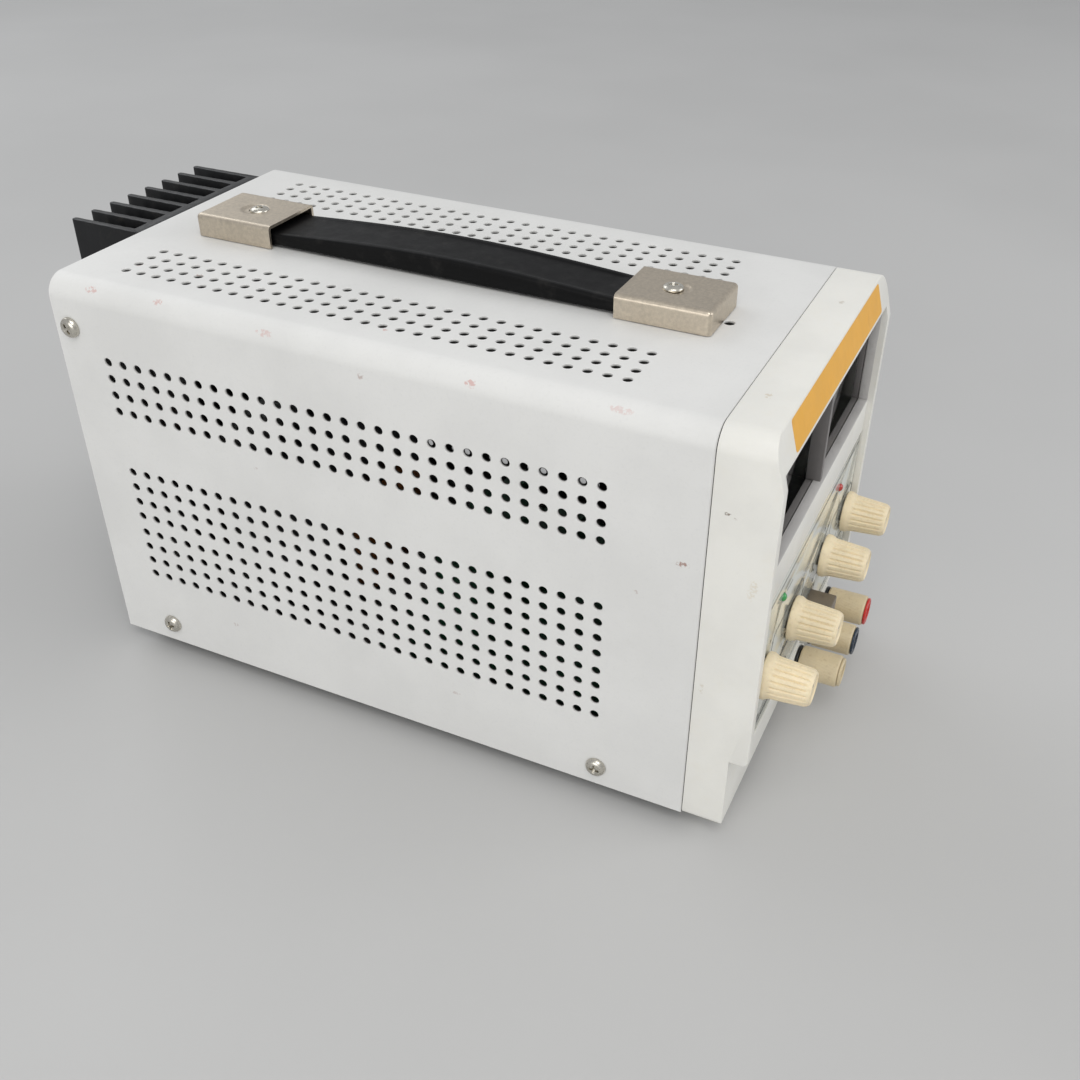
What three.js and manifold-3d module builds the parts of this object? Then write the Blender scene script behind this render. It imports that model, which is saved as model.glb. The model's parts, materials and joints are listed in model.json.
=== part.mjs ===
// Bench power supply: steel wrap-over cover, moulded front bezel with two readout windows, four fluted
// knobs, three binding posts, a push switch, a flat carrying handle with folded metal ends, and a finned
// heat sink on the back. Millimetres. +Z is up, the front faces -Y, and the origin is under the middle
// of the object at the floor the feet stand on.
import * as THREE from "three";
import { mergeVertices } from "three/addons/utils/BufferGeometryUtils.js";
import Module from "manifold-3d";

// ---- driving dimensions -------------------------------------------------------------------------
const GAP = 0.3; // clearance between pieces that touch
const HALF_W = 63.5; // half the width over the cover
const TOP_Z = 146.5; // top of the cover
const SKIRT_Z = 6.0; // lower edge of the cover's sides
const COVER_T = 1.2; // sheet thickness of the cover
const COVER_R = 7.0; // outside radius of the fold between top and side
const COVER_FRONT = -111.4;
const COVER_REAR = 113.05;

const BEZEL_BACK = -111.7;
const BEZEL_BOTTOM = 6.0;
const RIM_FRONT = -130.65; // front of the raised side rims
const FACE_FRONT = -128.75; // front of the flat face between the rims
const CHIN_FRONT = -124.95; // front of the set-back lower band
const CHIN_TOP = 34.4; // height where the lower band ends
const RIM_W = 3.8; // width of each side rim
const SKIN = 3.25; // thickness of the bezel's front
const WIN_Z0 = 100.0; // readout windows
const WIN_Z1 = 135.4;
const MULLION_HALF = 1.2;
const PANEL_Z0 = 36.6; // printed control panel
const PANEL_Z1 = 88.2;
const PANEL_FRONT = -128.45;
const PANEL_T = 1.4;

const KNOB_Z = 60.2;
const KNOB_X = { voltage_fine: -49.6, voltage_coarse: -19.1, current_coarse: 19.1, current_fine: 49.6 };
const KNOB_BACK = -128.95;
const KNOB_TIP = -144.25;
const KNOB_SKIRT_R = 7.4;
const KNOB_BODY_R = 6.6;
const KNOB_TIP_R = 5.8;
const SHAFT_R = 3.0;

const POST_Z = 21.0;
const POST_X = { ground: 8.6, negative: 27.7, positive: 46.9 };
const POST_CAP_BACK = -128.9;
const POST_CAP_FRONT = -143.1;
const POST_BOSS = -127.5; // face of the raised boss behind each post
const POST_R = 5.7;
const STUD_R = 2.9;
const SOCKET_R = 2.05; // hole for a 4 mm plug in the end of each stud

const BUTTON_X = 7.0;
const BUTTON_Z = 46.5;
const BUTTON_SIZE = 9.0;
const BUTTON_FRONT = -137.2;
const BUTTON_TRAVEL = 3.0;

const CAP_HALF_W = 12.8; // folded handle ends
const CAP_TOP = 154.3;
const CAP_BOTTOM = 146.8;
const CAP_T = 1.0;
const CAP_FRONT = [-91.9, -61.2];
const SCREW_Y = [-75.2, 75.6]; // handle screws, front and rear
const CAP_REAR = [62.85, 92.75];
const STRAP_HALF_W = 10.5;
const STRAP_BOTTOM = 147.3;
const STRAP_END_TOP = 151.4;
const STRAP_MID_TOP = 154.0;
const STRAP_ENDS = [-87.2, 88.2];
const STRAP_PLAY = 2.5; // each way, along its length

const SINK_BASE = [113.35, 118.0];
const SINK_REAR = 144.25;
const SINK_X0 = -17.6; // middle of the first fin
const FIN_PITCH = 9.4;
const FINS = 8;
const SINK_Z = [41.0, 146.0];

const SIDE_SCREWS = [ // [y, z] on each side
  [106.35, 130.6],
  [90.25, 14.4],
  [-81.55, 14.1],
];
const FOOT_X = 49.0;
const FOOT_Y = [-96.0, 94.0];

// ---- helpers ------------------------------------------------------------------------------------
const wasm = await Module();
wasm.setup();
const { Manifold, Mesh } = wasm;

function solid(geometry) {
  const flat = geometry.index ? geometry.toNonIndexed() : geometry;
  const merged = mergeVertices(
    new THREE.BufferGeometry().setAttribute("position", flat.getAttribute("position")),
    1e-4,
  );
  const idx = merged.index.array;
  const keep = [];
  for (let i = 0; i < idx.length; i += 3) {
    const [a, b, c] = [idx[i], idx[i + 1], idx[i + 2]];
    if (a !== b && b !== c && c !== a) keep.push(a, b, c);
  }
  return new Manifold(
    new Mesh({
      numProp: 3,
      vertProperties: new Float32Array(merged.attributes.position.array),
      triVerts: new Uint32Array(keep),
    }),
  );
}

function geometryOf(m) {
  const mesh = m.getMesh();
  const g = new THREE.BufferGeometry();
  g.setAttribute("position", new THREE.BufferAttribute(new Float32Array(mesh.vertProperties), 3));
  g.setIndex(new THREE.BufferAttribute(new Uint32Array(mesh.triVerts), 1));
  g.computeVertexNormals();
  return g;
}

const box = (x0, x1, y0, y1, z0, z1) =>
  solid(new THREE.BoxGeometry(x1 - x0, y1 - y0, z1 - z0).translate((x0 + x1) / 2, (y0 + y1) / 2, (z0 + z1) / 2));

function extrude(points, depth, holes = []) {
  const shape = new THREE.Shape(points.map(([a, b]) => new THREE.Vector2(a, b)));
  for (const h of holes) shape.holes.push(new THREE.Path(h.map(([a, b]) => new THREE.Vector2(a, b))));
  return new THREE.ExtrudeGeometry(shape, { depth, bevelEnabled: false });
}
// outline in (y, z), swept along X
const sweepX = (pts, x0, x1, holes) =>
  solid(extrude(pts, x1 - x0, holes).applyMatrix4(new THREE.Matrix4().set(0, 0, 1, x0, 1, 0, 0, 0, 0, 1, 0, 0, 0, 0, 0, 1)));
// outline in (x, z), swept along Y
const sweepY = (pts, y0, y1, holes) =>
  solid(extrude(pts, y1 - y0, holes).applyMatrix4(new THREE.Matrix4().set(1, 0, 0, 0, 0, 0, -1, y1, 0, 1, 0, 0, 0, 0, 0, 1)));
// outline in (x, y), swept along Z
const sweepZ = (pts, z0, z1, holes) => solid(extrude(pts, z1 - z0, holes).translate(0, 0, z0));

function cyl(axis, a, b, r, from, to, n = 24) {
  const g = new THREE.CylinderGeometry(r, r, to - from, n); // along Y
  const mid = (from + to) / 2;
  if (axis === "x") g.rotateZ(-Math.PI / 2).translate(mid, a, b); // a = y, b = z
  if (axis === "y") g.translate(a, mid, b); // a = x, b = z
  if (axis === "z") g.rotateX(Math.PI / 2).translate(a, b, mid); // a = x, b = y
  return solid(g);
}
// profile of [radius, y] turned about a line along Y through (x, z)
const turnY = (profile, x, z, n = 24) =>
  solid(new THREE.LatheGeometry(profile.map(([r, y]) => new THREE.Vector2(r, y)), n).translate(x, 0, z));

function roundRect(x0, x1, z0, z1, rTop, rBottom, n = 5) {
  const pts = [];
  const corner = (cx, cz, r, a0) => {
    if (r <= 0) return pts.push([cx, cz]);
    for (let i = 0; i <= n; i++) {
      const a = a0 + (i / n) * (Math.PI / 2);
      pts.push([cx + r * Math.cos(a), cz + r * Math.sin(a)]);
    }
  };
  corner(x1 - rTop, z1 - rTop, rTop, 0);
  corner(x0 + rTop, z1 - rTop, rTop, Math.PI / 2);
  corner(x0 + rBottom, z0 + rBottom, rBottom, Math.PI);
  corner(x1 - rBottom, z0 + rBottom, rBottom, 1.5 * Math.PI);
  return pts;
}
const union = (...m) => m.reduce((a, b) => a.add(b));
const cut = (m, ...tools) => tools.reduce((a, b) => a.subtract(b), m);

const part = new THREE.Group();
part.name = "bench_power_supply";
function add(name, m, color, roughness = 0.5, metalness = 0) {
  const mesh = new THREE.Mesh(geometryOf(m), new THREE.MeshStandardMaterial({ color, roughness, metalness }));
  mesh.name = name;
  part.add(mesh);
}
const C = {
  cover: 0xd6d6d4, bezel: 0xe4e4df, panel: 0xd2d4cf, dark: 0x3c3d3e, smoke: 0x1b1d20, steel: 0xb9bbba,
  ivory: 0xe0cda2, black: 0x16181a, rubber: 0x202122, brass: 0xc9a95a, nickel: 0xbfb3a3, red: 0xc23a32,
  navy: 0x1d2b3c, plain: 0xd5c69f, sink: 0x141618, board: 0x1f5a39, copper: 0xa5642f, iron: 0x4c4e50,
  button: 0x6a6459, green: 0x46b25a, lampRed: 0xd0402f,
};

// ---- cover: one sheet folded over the top and both sides ----------------------------------------
{
  const outer = [[-HALF_W, SKIRT_Z]];
  const inner = [];
  const n = 6;
  for (let i = 0; i <= n; i++) {
    const a = Math.PI - (i / n) * (Math.PI / 2);
    outer.push([-HALF_W + COVER_R + COVER_R * Math.cos(a), TOP_Z - COVER_R + COVER_R * Math.sin(a)]);
  }
  for (let i = 0; i <= n; i++) {
    const a = Math.PI / 2 - (i / n) * (Math.PI / 2);
    outer.push([HALF_W - COVER_R + COVER_R * Math.cos(a), TOP_Z - COVER_R + COVER_R * Math.sin(a)]);
  }
  outer.push([HALF_W, SKIRT_Z]);
  const ri = COVER_R - COVER_T;
  inner.push([HALF_W - COVER_T, SKIRT_Z]);
  for (let i = 0; i <= n; i++) {
    const a = (i / n) * (Math.PI / 2);
    inner.push([HALF_W - COVER_R + ri * Math.cos(a), TOP_Z - COVER_R + ri * Math.sin(a)]);
  }
  for (let i = 0; i <= n; i++) {
    const a = Math.PI / 2 + (i / n) * (Math.PI / 2);
    inner.push([-HALF_W + COVER_R + ri * Math.cos(a), TOP_Z - COVER_R + ri * Math.sin(a)]);
  }
  inner.push([-HALF_W + COVER_T, SKIRT_Z]);
  let cover = sweepY([...outer, ...inner], COVER_FRONT, COVER_REAR);
  for (const [y, z] of SIDE_SCREWS) cover = cover.subtract(cyl("x", y, z, 1.8, -70, 70, 12));
  for (const y of SCREW_Y)
    cover = cover.subtract(cyl("z", 0, y, 2.3, 140, 150, 12));
  cover = cover.subtract(cyl("z", 0, -93.6, 1.7, 140, 150, 12)); // spare locating hole ahead of the handle
  add("case_cover", cover, C.cover, 0.55, 0.1);
}

// ---- chassis tray -------------------------------------------------------------------------------
const IN_X = HALF_W - COVER_T - GAP; // outside of what fits inside the cover
{
  const u = [[-IN_X, 6.9], [IN_X, 6.9], [IN_X, 21.0], [IN_X - 1.5, 21.0], [IN_X - 1.5, 8.4], [-IN_X + 1.5, 8.4], [-IN_X + 1.5, 21.0], [-IN_X, 21.0]];
  let tray = sweepY(u, BEZEL_BACK + GAP, 109.4);
  for (const [y, z] of SIDE_SCREWS.slice(1)) tray = tray.subtract(cyl("x", y, z, 1.8, -70, 70, 12));
  for (const x of [-FOOT_X, FOOT_X]) for (const y of FOOT_Y) tray = tray.subtract(cyl("z", x, y, 2.3, 5, 10, 12));
  for (let i = 0; i < 5; i++) tray = tray.subtract(box(-30, 30, -20 + i * 12, -15 + i * 12, 5, 10)); // air slots
  add("chassis_tray", tray, C.steel, 0.4, 0.6);
}

// ---- front bezel --------------------------------------------------------------------------------
{
  const side = [
    [BEZEL_BACK, BEZEL_BOTTOM], [CHIN_FRONT + 1.2, BEZEL_BOTTOM], [CHIN_FRONT, BEZEL_BOTTOM + 1.2],
    [CHIN_FRONT, CHIN_TOP], [RIM_FRONT + 1.2, CHIN_TOP], [RIM_FRONT, CHIN_TOP + 1.2],
    [RIM_FRONT, 131.4], [-129.45, 136.0], [-126.6, 146.1], [-126.2, TOP_Z], [BEZEL_BACK, TOP_Z],
  ];
  let bezel = sweepX(side, -HALF_W, HALF_W).intersect(
    sweepY(roundRect(-HALF_W, HALF_W, BEZEL_BOTTOM, TOP_Z, COVER_R, 2.0, 6), -140, -100),
  );
  const rim = HALF_W - RIM_W;
  bezel = cut(
    bezel,
    box(-rim, rim, -140, FACE_FRONT, CHIN_TOP - 5, WIN_Z1), // face between the rims
    box(-60.9, 60.9, FACE_FRONT + SKIN, -100, 37.6, 143.6), // hollow behind the face
    box(-60.9, 60.9, CHIN_FRONT + 2.6, -100, 9.6, 38.0), // hollow behind the chin
    box(-rim, rim, -140, -100, WIN_Z0, WIN_Z1), // window opening
    box(-rim, rim, -140, PANEL_FRONT + PANEL_T + GAP, PANEL_Z0 - GAP, PANEL_Z1 + GAP), // seat of the panel
    box(-58.4, 58.4, -140, -100, 39.4, 85.6), // opening behind the panel
  );
  for (const x of Object.values(POST_X))
    bezel = bezel.add(cyl("y", x, POST_Z, 5.9, POST_BOSS, CHIN_FRONT + 1, 20)).subtract(cyl("y", x, POST_Z, STUD_R + GAP, -130, -115, 16));
  add("front_bezel", bezel, C.bezel, 0.5);
}

// dark frame behind the window opening, panes and readout modules
{
  const y0 = FACE_FRONT + SKIN + GAP, y1 = y0 + 2.1, rim = HALF_W - RIM_W;
  let frame = cut(
    box(-60.6, 60.6, y0, y1, WIN_Z0 - 2.6, WIN_Z1 + 2.6),
    box(-rim + 0.2, -MULLION_HALF, y0 - 1, y1 + 1, WIN_Z0 + 0.2, WIN_Z1 - 0.2),
    box(MULLION_HALF, rim - 0.2, y0 - 1, y1 + 1, WIN_Z0 + 0.2, WIN_Z1 - 0.2),
  );
  frame = frame.add(box(-MULLION_HALF, MULLION_HALF, FACE_FRONT + 0.9, y0 + 1, WIN_Z0 + GAP, WIN_Z1 - GAP)); // bar between the windows
  add("window_frame", frame, C.dark, 0.5);
  const p0 = y1 + GAP, p1 = p0 + 1.5;
  add("volt_pane", box(-60.4, -0.2, p0, p1, WIN_Z0 - 2.2, WIN_Z1 + 2.2), C.smoke, 0.06);
  add("amp_pane", box(0.2, 60.4, p0, p1, WIN_Z0 - 2.2, WIN_Z1 + 2.2), C.smoke, 0.06);
  // each readout: a block of digits on a small board with two stand-off pillars
  for (const [name, s] of [["volt_readout", -1], ["amp_readout", 1]]) {
    const cx = s * 30.5, d0 = p1 + GAP;
    add(name, union(
      box(cx - 20, cx + 20, d0, d0 + 5.2, 108.0, 125.5),
      box(cx - 26, cx + 26, d0 + 5.0, d0 + 6.6, 102.0, 131.5),
    ), C.dark, 0.5);
  }
}

// ---- control panel ------------------------------------------------------------------------------
const LAMPS = { cv_lamp: [-34.35, 78.6, C.green], cc_lamp: [34.35, 78.6, C.lampRed] };
const POT_HOLE = 4.3;
{
  let panel = box(-HALF_W + RIM_W + GAP, HALF_W - RIM_W - GAP, PANEL_FRONT, PANEL_FRONT + PANEL_T, PANEL_Z0, PANEL_Z1);
  for (const x of Object.values(KNOB_X)) panel = panel.subtract(cyl("y", x, KNOB_Z, POT_HOLE, -135, -120, 20));
  for (const [x, z] of Object.values(LAMPS)) panel = panel.subtract(cyl("y", x, z, 1.8, -135, -120, 14));
  const h = BUTTON_SIZE / 2 + 0.4;
  panel = panel.subtract(box(BUTTON_X - h, BUTTON_X + h, -135, -120, BUTTON_Z - h, BUTTON_Z + h));
  add("front_panel", panel, C.panel, 0.25);
}
for (const [name, [x, z, color]] of Object.entries(LAMPS))
  add(name, turnY([[0, -129.5], [0.9, -129.25], [1.4, -128.6], [1.5, -127.9], [1.5, -123.6], [0, -123.6]], x, z, 14), color, 0.2);

// ---- knobs, shafts and potentiometers -----------------------------------------------------------
for (const [name, x] of Object.entries(KNOB_X)) {
  const knob = turnY(
    [
      [0, -130.4], [5.0, -130.4], [5.0, KNOB_BACK],
      [KNOB_SKIRT_R, KNOB_BACK], [KNOB_SKIRT_R, KNOB_BACK - 1.9], [KNOB_BODY_R, KNOB_BACK - 3.2],
      [KNOB_TIP_R, KNOB_TIP + 1.3], [KNOB_TIP_R - 1.0, KNOB_TIP], [0, KNOB_TIP],
    ].reverse(),
    x, KNOB_Z, 20,
  ).subtract(cyl("y", x, KNOB_Z, SHAFT_R + 0.15, -139.4, -129, 14));
  add(`${name}_knob`, knob, C.ivory, 0.45);
  add(`${name}_shaft`, cyl("y", x, KNOB_Z, SHAFT_R, -139.1, -119.4, 14), C.nickel, 0.3, 0.9);
  const pot = cut(
    union(
      cyl("y", x, KNOB_Z, 4.0, PANEL_FRONT - 0.75, -126.0, 14),
      cyl("y", x, KNOB_Z, 8.2, PANEL_FRONT + PANEL_T + GAP, -117.6, 16),
      box(x - 7.0, x + 7.0, -123.0, -120.4, KNOB_Z - 12.5, KNOB_Z),
    ),
    cyl("y", x, KNOB_Z, SHAFT_R + 0.2, -135, -119.1, 14),
  );
  add(`${name}_pot`, pot, C.steel, 0.4, 0.5);
}

// ---- power push switch --------------------------------------------------------------------------
{
  const h = BUTTON_SIZE / 2, sy0 = -118.4;
  const button = union(
    sweepY(roundRect(BUTTON_X - h, BUTTON_X + h, BUTTON_Z - h, BUTTON_Z + h, 0.9, 0.9, 2), BUTTON_FRONT, -123.6),
    box(BUTTON_X - 2, BUTTON_X + 2, -124.0, -113.4, BUTTON_Z - 2, BUTTON_Z + 2),
  );
  add("power_button", button, C.button, 0.5);
  add("power_switch_body", cut(
    box(BUTTON_X - 7.5, BUTTON_X + 7.5, sy0, -92.0, BUTTON_Z - 7.5, BUTTON_Z + 6.5),
    box(BUTTON_X - 2.4, BUTTON_X + 2.4, sy0 - 1, -113.4 + BUTTON_TRAVEL + 0.6, BUTTON_Z - 2.4, BUTTON_Z + 2.4),
  ), C.black, 0.6);
}

// ---- binding posts ------------------------------------------------------------------------------
const POST_COLOR = { ground: C.plain, negative: C.navy, positive: C.red };
for (const [name, x] of Object.entries(POST_X)) {
  const ring = (r0, r1, a, b, n) => turnY([[r0, a], [r1, a], [r1, b], [r0, b], [r0, a]], x, POST_Z, n);
  add(`${name}_post_collar`, ring(STUD_R + 0.2, 5.5, POST_CAP_BACK + 0.25, POST_BOSS - 0.2, 20), C.black, 0.5);
  const stud = union(
    cyl("y", x, POST_Z, STUD_R, -143.6, -110.0, 14),
    cyl("y", x, POST_Z, 5.4, CHIN_FRONT + 2.6 + GAP, -118.4, 6), // fixing nut behind the chin
  ).subtract(cyl("y", x, POST_Z, SOCKET_R, -145, -128.0, 12));
  add(`${name}_post_stud`, stud, C.brass, 0.3, 0.9);
  add(`${name}_post_cap`, turnY(
    [
      [STUD_R + 0.2, POST_CAP_BACK], [POST_R - 0.5, POST_CAP_BACK], [POST_R, POST_CAP_BACK - 0.6],
      [POST_R, POST_CAP_FRONT + 0.5], [POST_R - 0.4, POST_CAP_FRONT], [STUD_R + 0.2, POST_CAP_FRONT],
      [STUD_R + 0.2, POST_CAP_BACK],
    ].reverse(),
    x, POST_Z, 20,
  ), C.ivory, 0.45);
  add(`${name}_post_ring`, ring(STUD_R + 0.2, 5.1, -144.15, POST_CAP_FRONT - 0.15, 20), POST_COLOR[name], 0.4);
}

// ---- carrying handle ----------------------------------------------------------------------------
const CAP_MID = SCREW_Y;
{
  // strap: flat underneath, top slightly bowed with a shallow trough between raised edges
  const [y0, y1] = STRAP_ENDS, a = CAP_FRONT[1] + 1.5, b = CAP_REAR[0] - 1.5, n = 12;
  const arc = (drop) => {
    const pts = [];
    for (let i = 0; i <= n; i++) {
      const t = i / n;
      pts.push([a + (b - a) * t, STRAP_END_TOP + (STRAP_MID_TOP - STRAP_END_TOP) * Math.sin(Math.PI * t) - drop]);
    }
    return pts;
  };
  let strap = sweepX([[y0, STRAP_BOTTOM], [y1, STRAP_BOTTOM], [y1, STRAP_END_TOP], ...arc(0).reverse(), [y0, STRAP_END_TOP]],
    -STRAP_HALF_W, STRAP_HALF_W);
  strap = strap.subtract(sweepX([[a + 3, 158], ...arc(0.45).slice(1, -1), [b - 3, 158]].reverse(), -8.3, 8.3));
  for (const y of CAP_MID)
    strap = strap.subtract(union(
      box(-2.6, 2.6, y - STRAP_PLAY - 0.4, y + STRAP_PLAY + 0.4, 140, 160),
      cyl("z", 0, y - STRAP_PLAY - 0.4, 2.6, 140, 160, 16),
      cyl("z", 0, y + STRAP_PLAY + 0.4, 2.6, 140, 160, 16),
    ));
  add("handle_strap", strap, C.black, 0.35);

  // ends: sheet folded down on three sides, open towards the strap
  const end = (name, c, open, mid) => {
    let m = sweepX(
      [[c[0], CAP_BOTTOM], [c[1], CAP_BOTTOM], [c[1], CAP_TOP - 0.7], [c[1] - 0.7, CAP_TOP], [c[0] + 0.7, CAP_TOP], [c[0], CAP_TOP - 0.7]],
      -CAP_HALF_W, CAP_HALF_W,
    ).intersect(sweepY(roundRect(-CAP_HALF_W, CAP_HALF_W, CAP_BOTTOM, CAP_TOP, 1.3, 0, 3), c[0] - 1, c[1] + 1));
    const i0 = open < 0 ? c[0] - 2 : c[0] + CAP_T, i1 = open > 0 ? c[1] + 2 : c[1] - CAP_T;
    m = m.subtract(box(-CAP_HALF_W + CAP_T, CAP_HALF_W - CAP_T, i0, i1, CAP_BOTTOM - 1, CAP_TOP - CAP_T));
    m = m.subtract(cyl("z", 0, mid, 2.3, 140, 160, 16));
    add(name, m, C.nickel, 0.35, 0.85);
  };
  end("handle_end_front", CAP_FRONT, 1, CAP_MID[0]);
  end("handle_end_rear", CAP_REAR, -1, CAP_MID[1]);
  for (const [name, y] of [["handle_screw_front", CAP_MID[0]], ["handle_screw_rear", CAP_MID[1]]])
    add(name, union(
      solid(new THREE.LatheGeometry([[0, 0], [3.3, 0], [3.3, 0.7], [2.4, 1.25], [0, 1.4]].map(([r, z]) => new THREE.Vector2(r, z)), 16)
        .rotateX(Math.PI / 2).translate(0, y, CAP_TOP + 0.15)),
      cyl("z", 0, y, 2.0, 139.5, CAP_TOP + 0.3, 10),
      cyl("z", 0, y, 4.0, 141.6, TOP_Z - COVER_T - GAP, 6), // nut under the cover
    ), C.nickel, 0.3, 0.9);
}

// ---- back of the case ---------------------------------------------------------------------------
const RP = [109.75, 111.25]; // rear panel
const PAD = { x: [-9.0, 41.0], z: [62.0, 128.0] }; // pad of the heat sink that stands through the rear panel
const INLET = { x: [-56.0, -25.0], z: [13.6, 51.6], bodyX: [-54.0, -27.0], bodyZ: [15.6, 49.6] };
{
  let rear = union(
    sweepY(roundRect(-IN_X, IN_X, 8.5, TOP_Z - COVER_T - GAP, 5.4, 0, 4), RP[0], RP[1]),
    box(-IN_X, -IN_X + 1.5, 97.0, RP[0] + 0.5, 121.0, 138.0),
    box(IN_X - 1.5, IN_X, 97.0, RP[0] + 0.5, 121.0, 138.0),
  );
  rear = cut(
    rear,
    box(PAD.x[0] - GAP, PAD.x[1] + GAP, 105, 115, PAD.z[0] - GAP, PAD.z[1] + GAP),
    box(INLET.bodyX[0] - GAP, INLET.bodyX[1] + GAP, 105, 115, INLET.bodyZ[0] - GAP, INLET.bodyZ[1] + GAP),
    cyl("x", SIDE_SCREWS[0][0], SIDE_SCREWS[0][1], 1.8, -70, 70, 12),
  );
  add("rear_panel", rear, C.steel, 0.45, 0.5);

  // heat sink: base plate, pad, and fins standing rearward
  const pts = [];
  const xs = SINK_X0 - 1.5, xe = SINK_X0 + FIN_PITCH * (FINS - 1) + 1.5;
  pts.push([xs, SINK_BASE[0]]);
  pts.push([xe, SINK_BASE[0]]);
  for (let i = FINS - 1; i >= 0; i--) {
    const c = SINK_X0 + i * FIN_PITCH;
    pts.push([c + 1.5, SINK_BASE[1]], [c + 1.2, SINK_REAR - 0.9], [c + 0.5, SINK_REAR], [c - 0.5, SINK_REAR], [c - 1.2, SINK_REAR - 0.9], [c - 1.5, SINK_BASE[1]]);
  }
  add("heat_sink", union(
    sweepZ(pts, SINK_Z[0], SINK_Z[1]),
    box(PAD.x[0], PAD.x[1], 108.4, SINK_BASE[0] + 0.5, PAD.z[0], PAD.z[1]),
  ), C.sink, 0.45, 0.4);
  add("power_transistor", union(
    box(6.0, 26.0, 103.4, 108.1, 84.0, 104.0),
    box(8.6, 9.8, 103.4, 104.6, 76.0, 84.5), box(15.4, 16.6, 103.4, 104.6, 76.0, 84.5), box(22.2, 23.4, 103.4, 104.6, 76.0, 84.5),
  ), C.dark, 0.4);

  // mains inlet with a fuse drawer under the socket
  const fx = [-51.6, -29.4], fz = [16.9, 24.9];
  let inlet = union(
    box(INLET.x[0], INLET.x[1], RP[1] + GAP, 114.2, INLET.z[0], INLET.z[1]),
    box(INLET.bodyX[0], INLET.bodyX[1], 90.0, RP[1] + GAP + 0.5, INLET.bodyZ[0], INLET.bodyZ[1]),
  );
  inlet = cut(
    inlet,
    sweepY([[-52.6, 29.4], [-28.4, 29.4], [-28.4, 40.6], [-32.6, 45.6], [-48.4, 45.6], [-52.6, 40.6]], 97.5, 120), // socket
    box(fx[0] - 0.3, fx[1] + 0.3, 93.0, 120, fz[0] - 0.3, fz[1] + 0.3), // drawer well
  );
  add("mains_inlet", inlet, C.black, 0.5);
  add("fuse_drawer", cut(
    union(box(fx[0], fx[1], 94.0, 114.6, fz[0], fz[1]), box(-43.0, -38.0, 114.2, 115.6, 19.6, 22.2)),
    cyl("x", 101.0, 20.9, 2.7, -50.0, -31.0, 12), // cradle that holds the fuse
    box(-50.0, -31.0, 98.3, 103.7, 20.9, 26.0),
  ), C.black, 0.5);
}

// ---- inside the case ----------------------------------------------------------------------------
{
  const cx = 0, cy = 58, z0 = 8.4, z1 = 66.4, zc = (z0 + z1) / 2;
  let core = cut(
    union(box(cx - 33, cx + 33, cy - 20, cy + 20, z0, z1), box(cx - 40, cx + 40, cy - 14, cy + 14, z0, z0 + 2.0)),
    box(cx - 22, cx - 11, cy - 25, cy + 25, zc - 17, zc + 17),
    box(cx + 11, cx + 22, cy - 25, cy + 25, zc - 17, zc + 17),
  );
  add("transformer_core", core, C.iron, 0.5, 0.6);
  add("transformer_winding", cut(
    sweepZ([[-21.7, -27], [-17, -31], [17, -31], [21.7, -27], [21.7, 27], [17, 31], [-17, 31], [-21.7, 27]].map(([x, y]) => [x + cx, y + cy]), zc - 16.7, zc + 16.7),
    box(cx - 11.3, cx + 11.3, cy - 20.3, cy + 20.3, zc - 20, zc + 20),
  ), C.copper, 0.5);

  // control board on four pillars, with its capacitors, relay and rectifier block
  const b = 24.0;
  let board = box(-52, 52, -88, 8, b, b + 1.6);
  for (const x of [-46, 46]) for (const y of [-82, 2]) board = board.add(cyl("z", x, y, 3.0, 8.4, b + 0.2, 10));
  board = union(
    board,
    cyl("z", -34, -20, 12.5, b + 1.4, b + 41, 20),
    cyl("z", -6, -20, 12.5, b + 1.4, b + 41, 20),
    cyl("z", 26, -68, 5.0, b + 1.4, b + 17, 14),
    cyl("z", 40, -68, 5.0, b + 1.4, b + 17, 14),
    box(18, 38, -34, -18, b + 1.4, b + 17),
    box(20, 46, -6, 2, b + 1.4, b + 22),
    box(-44, -24, -74, -56, b + 1.4, b + 6),
  );
  add("control_board", board, C.board, 0.5);
}

// ---- feet and side screws -----------------------------------------------------------------------
let f = 0;
const FOOT_NAMES = ["foot_front_left", "foot_rear_left", "foot_front_right", "foot_rear_right"];
for (const x of [-FOOT_X, FOOT_X])
  for (const y of FOOT_Y)
    add(FOOT_NAMES[f++], union(
      solid(new THREE.LatheGeometry([[0, 0], [6.4, 0], [6.8, 0.5], [7.4, 6.6], [0, 6.6]].map(([r, z]) => new THREE.Vector2(r, z)), 20)
        .rotateX(Math.PI / 2).translate(x, y, 0)),
      cyl("z", x, y, 2.0, 6.0, 11.0, 12), // stub pressed through the tray
    ), C.rubber, 0.8);

for (const [side, s] of [["left", -1], ["right", 1]])
  SIDE_SCREWS.forEach(([y, z], i) => {
    const head = solid(
      new THREE.LatheGeometry([[0, 0], [3.5, 0], [3.5, 0.7], [2.4, 1.8], [0, 2.0]].map(([r, h]) => new THREE.Vector2(r, h)), 14)
        .rotateZ(s > 0 ? -Math.PI / 2 : Math.PI / 2),
    ).translate([s * (HALF_W + 0.15), y, z]);
    const shank = s > 0 ? cyl("x", y, z, 1.5, 58.0, HALF_W + 0.4, 8) : cyl("x", y, z, 1.5, -HALF_W - 0.4, -58.0, 8);
    add(`cover_screw_${side}_${["upper_rear", "lower_rear", "lower_front"][i]}`, head.add(shank), C.nickel, 0.3, 0.9);
  });

export default part;
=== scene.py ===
import json
import math
import bpy
import bmesh
from mathutils import Matrix, Vector
from mathutils.geometry import delaunay_2d_cdt


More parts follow.
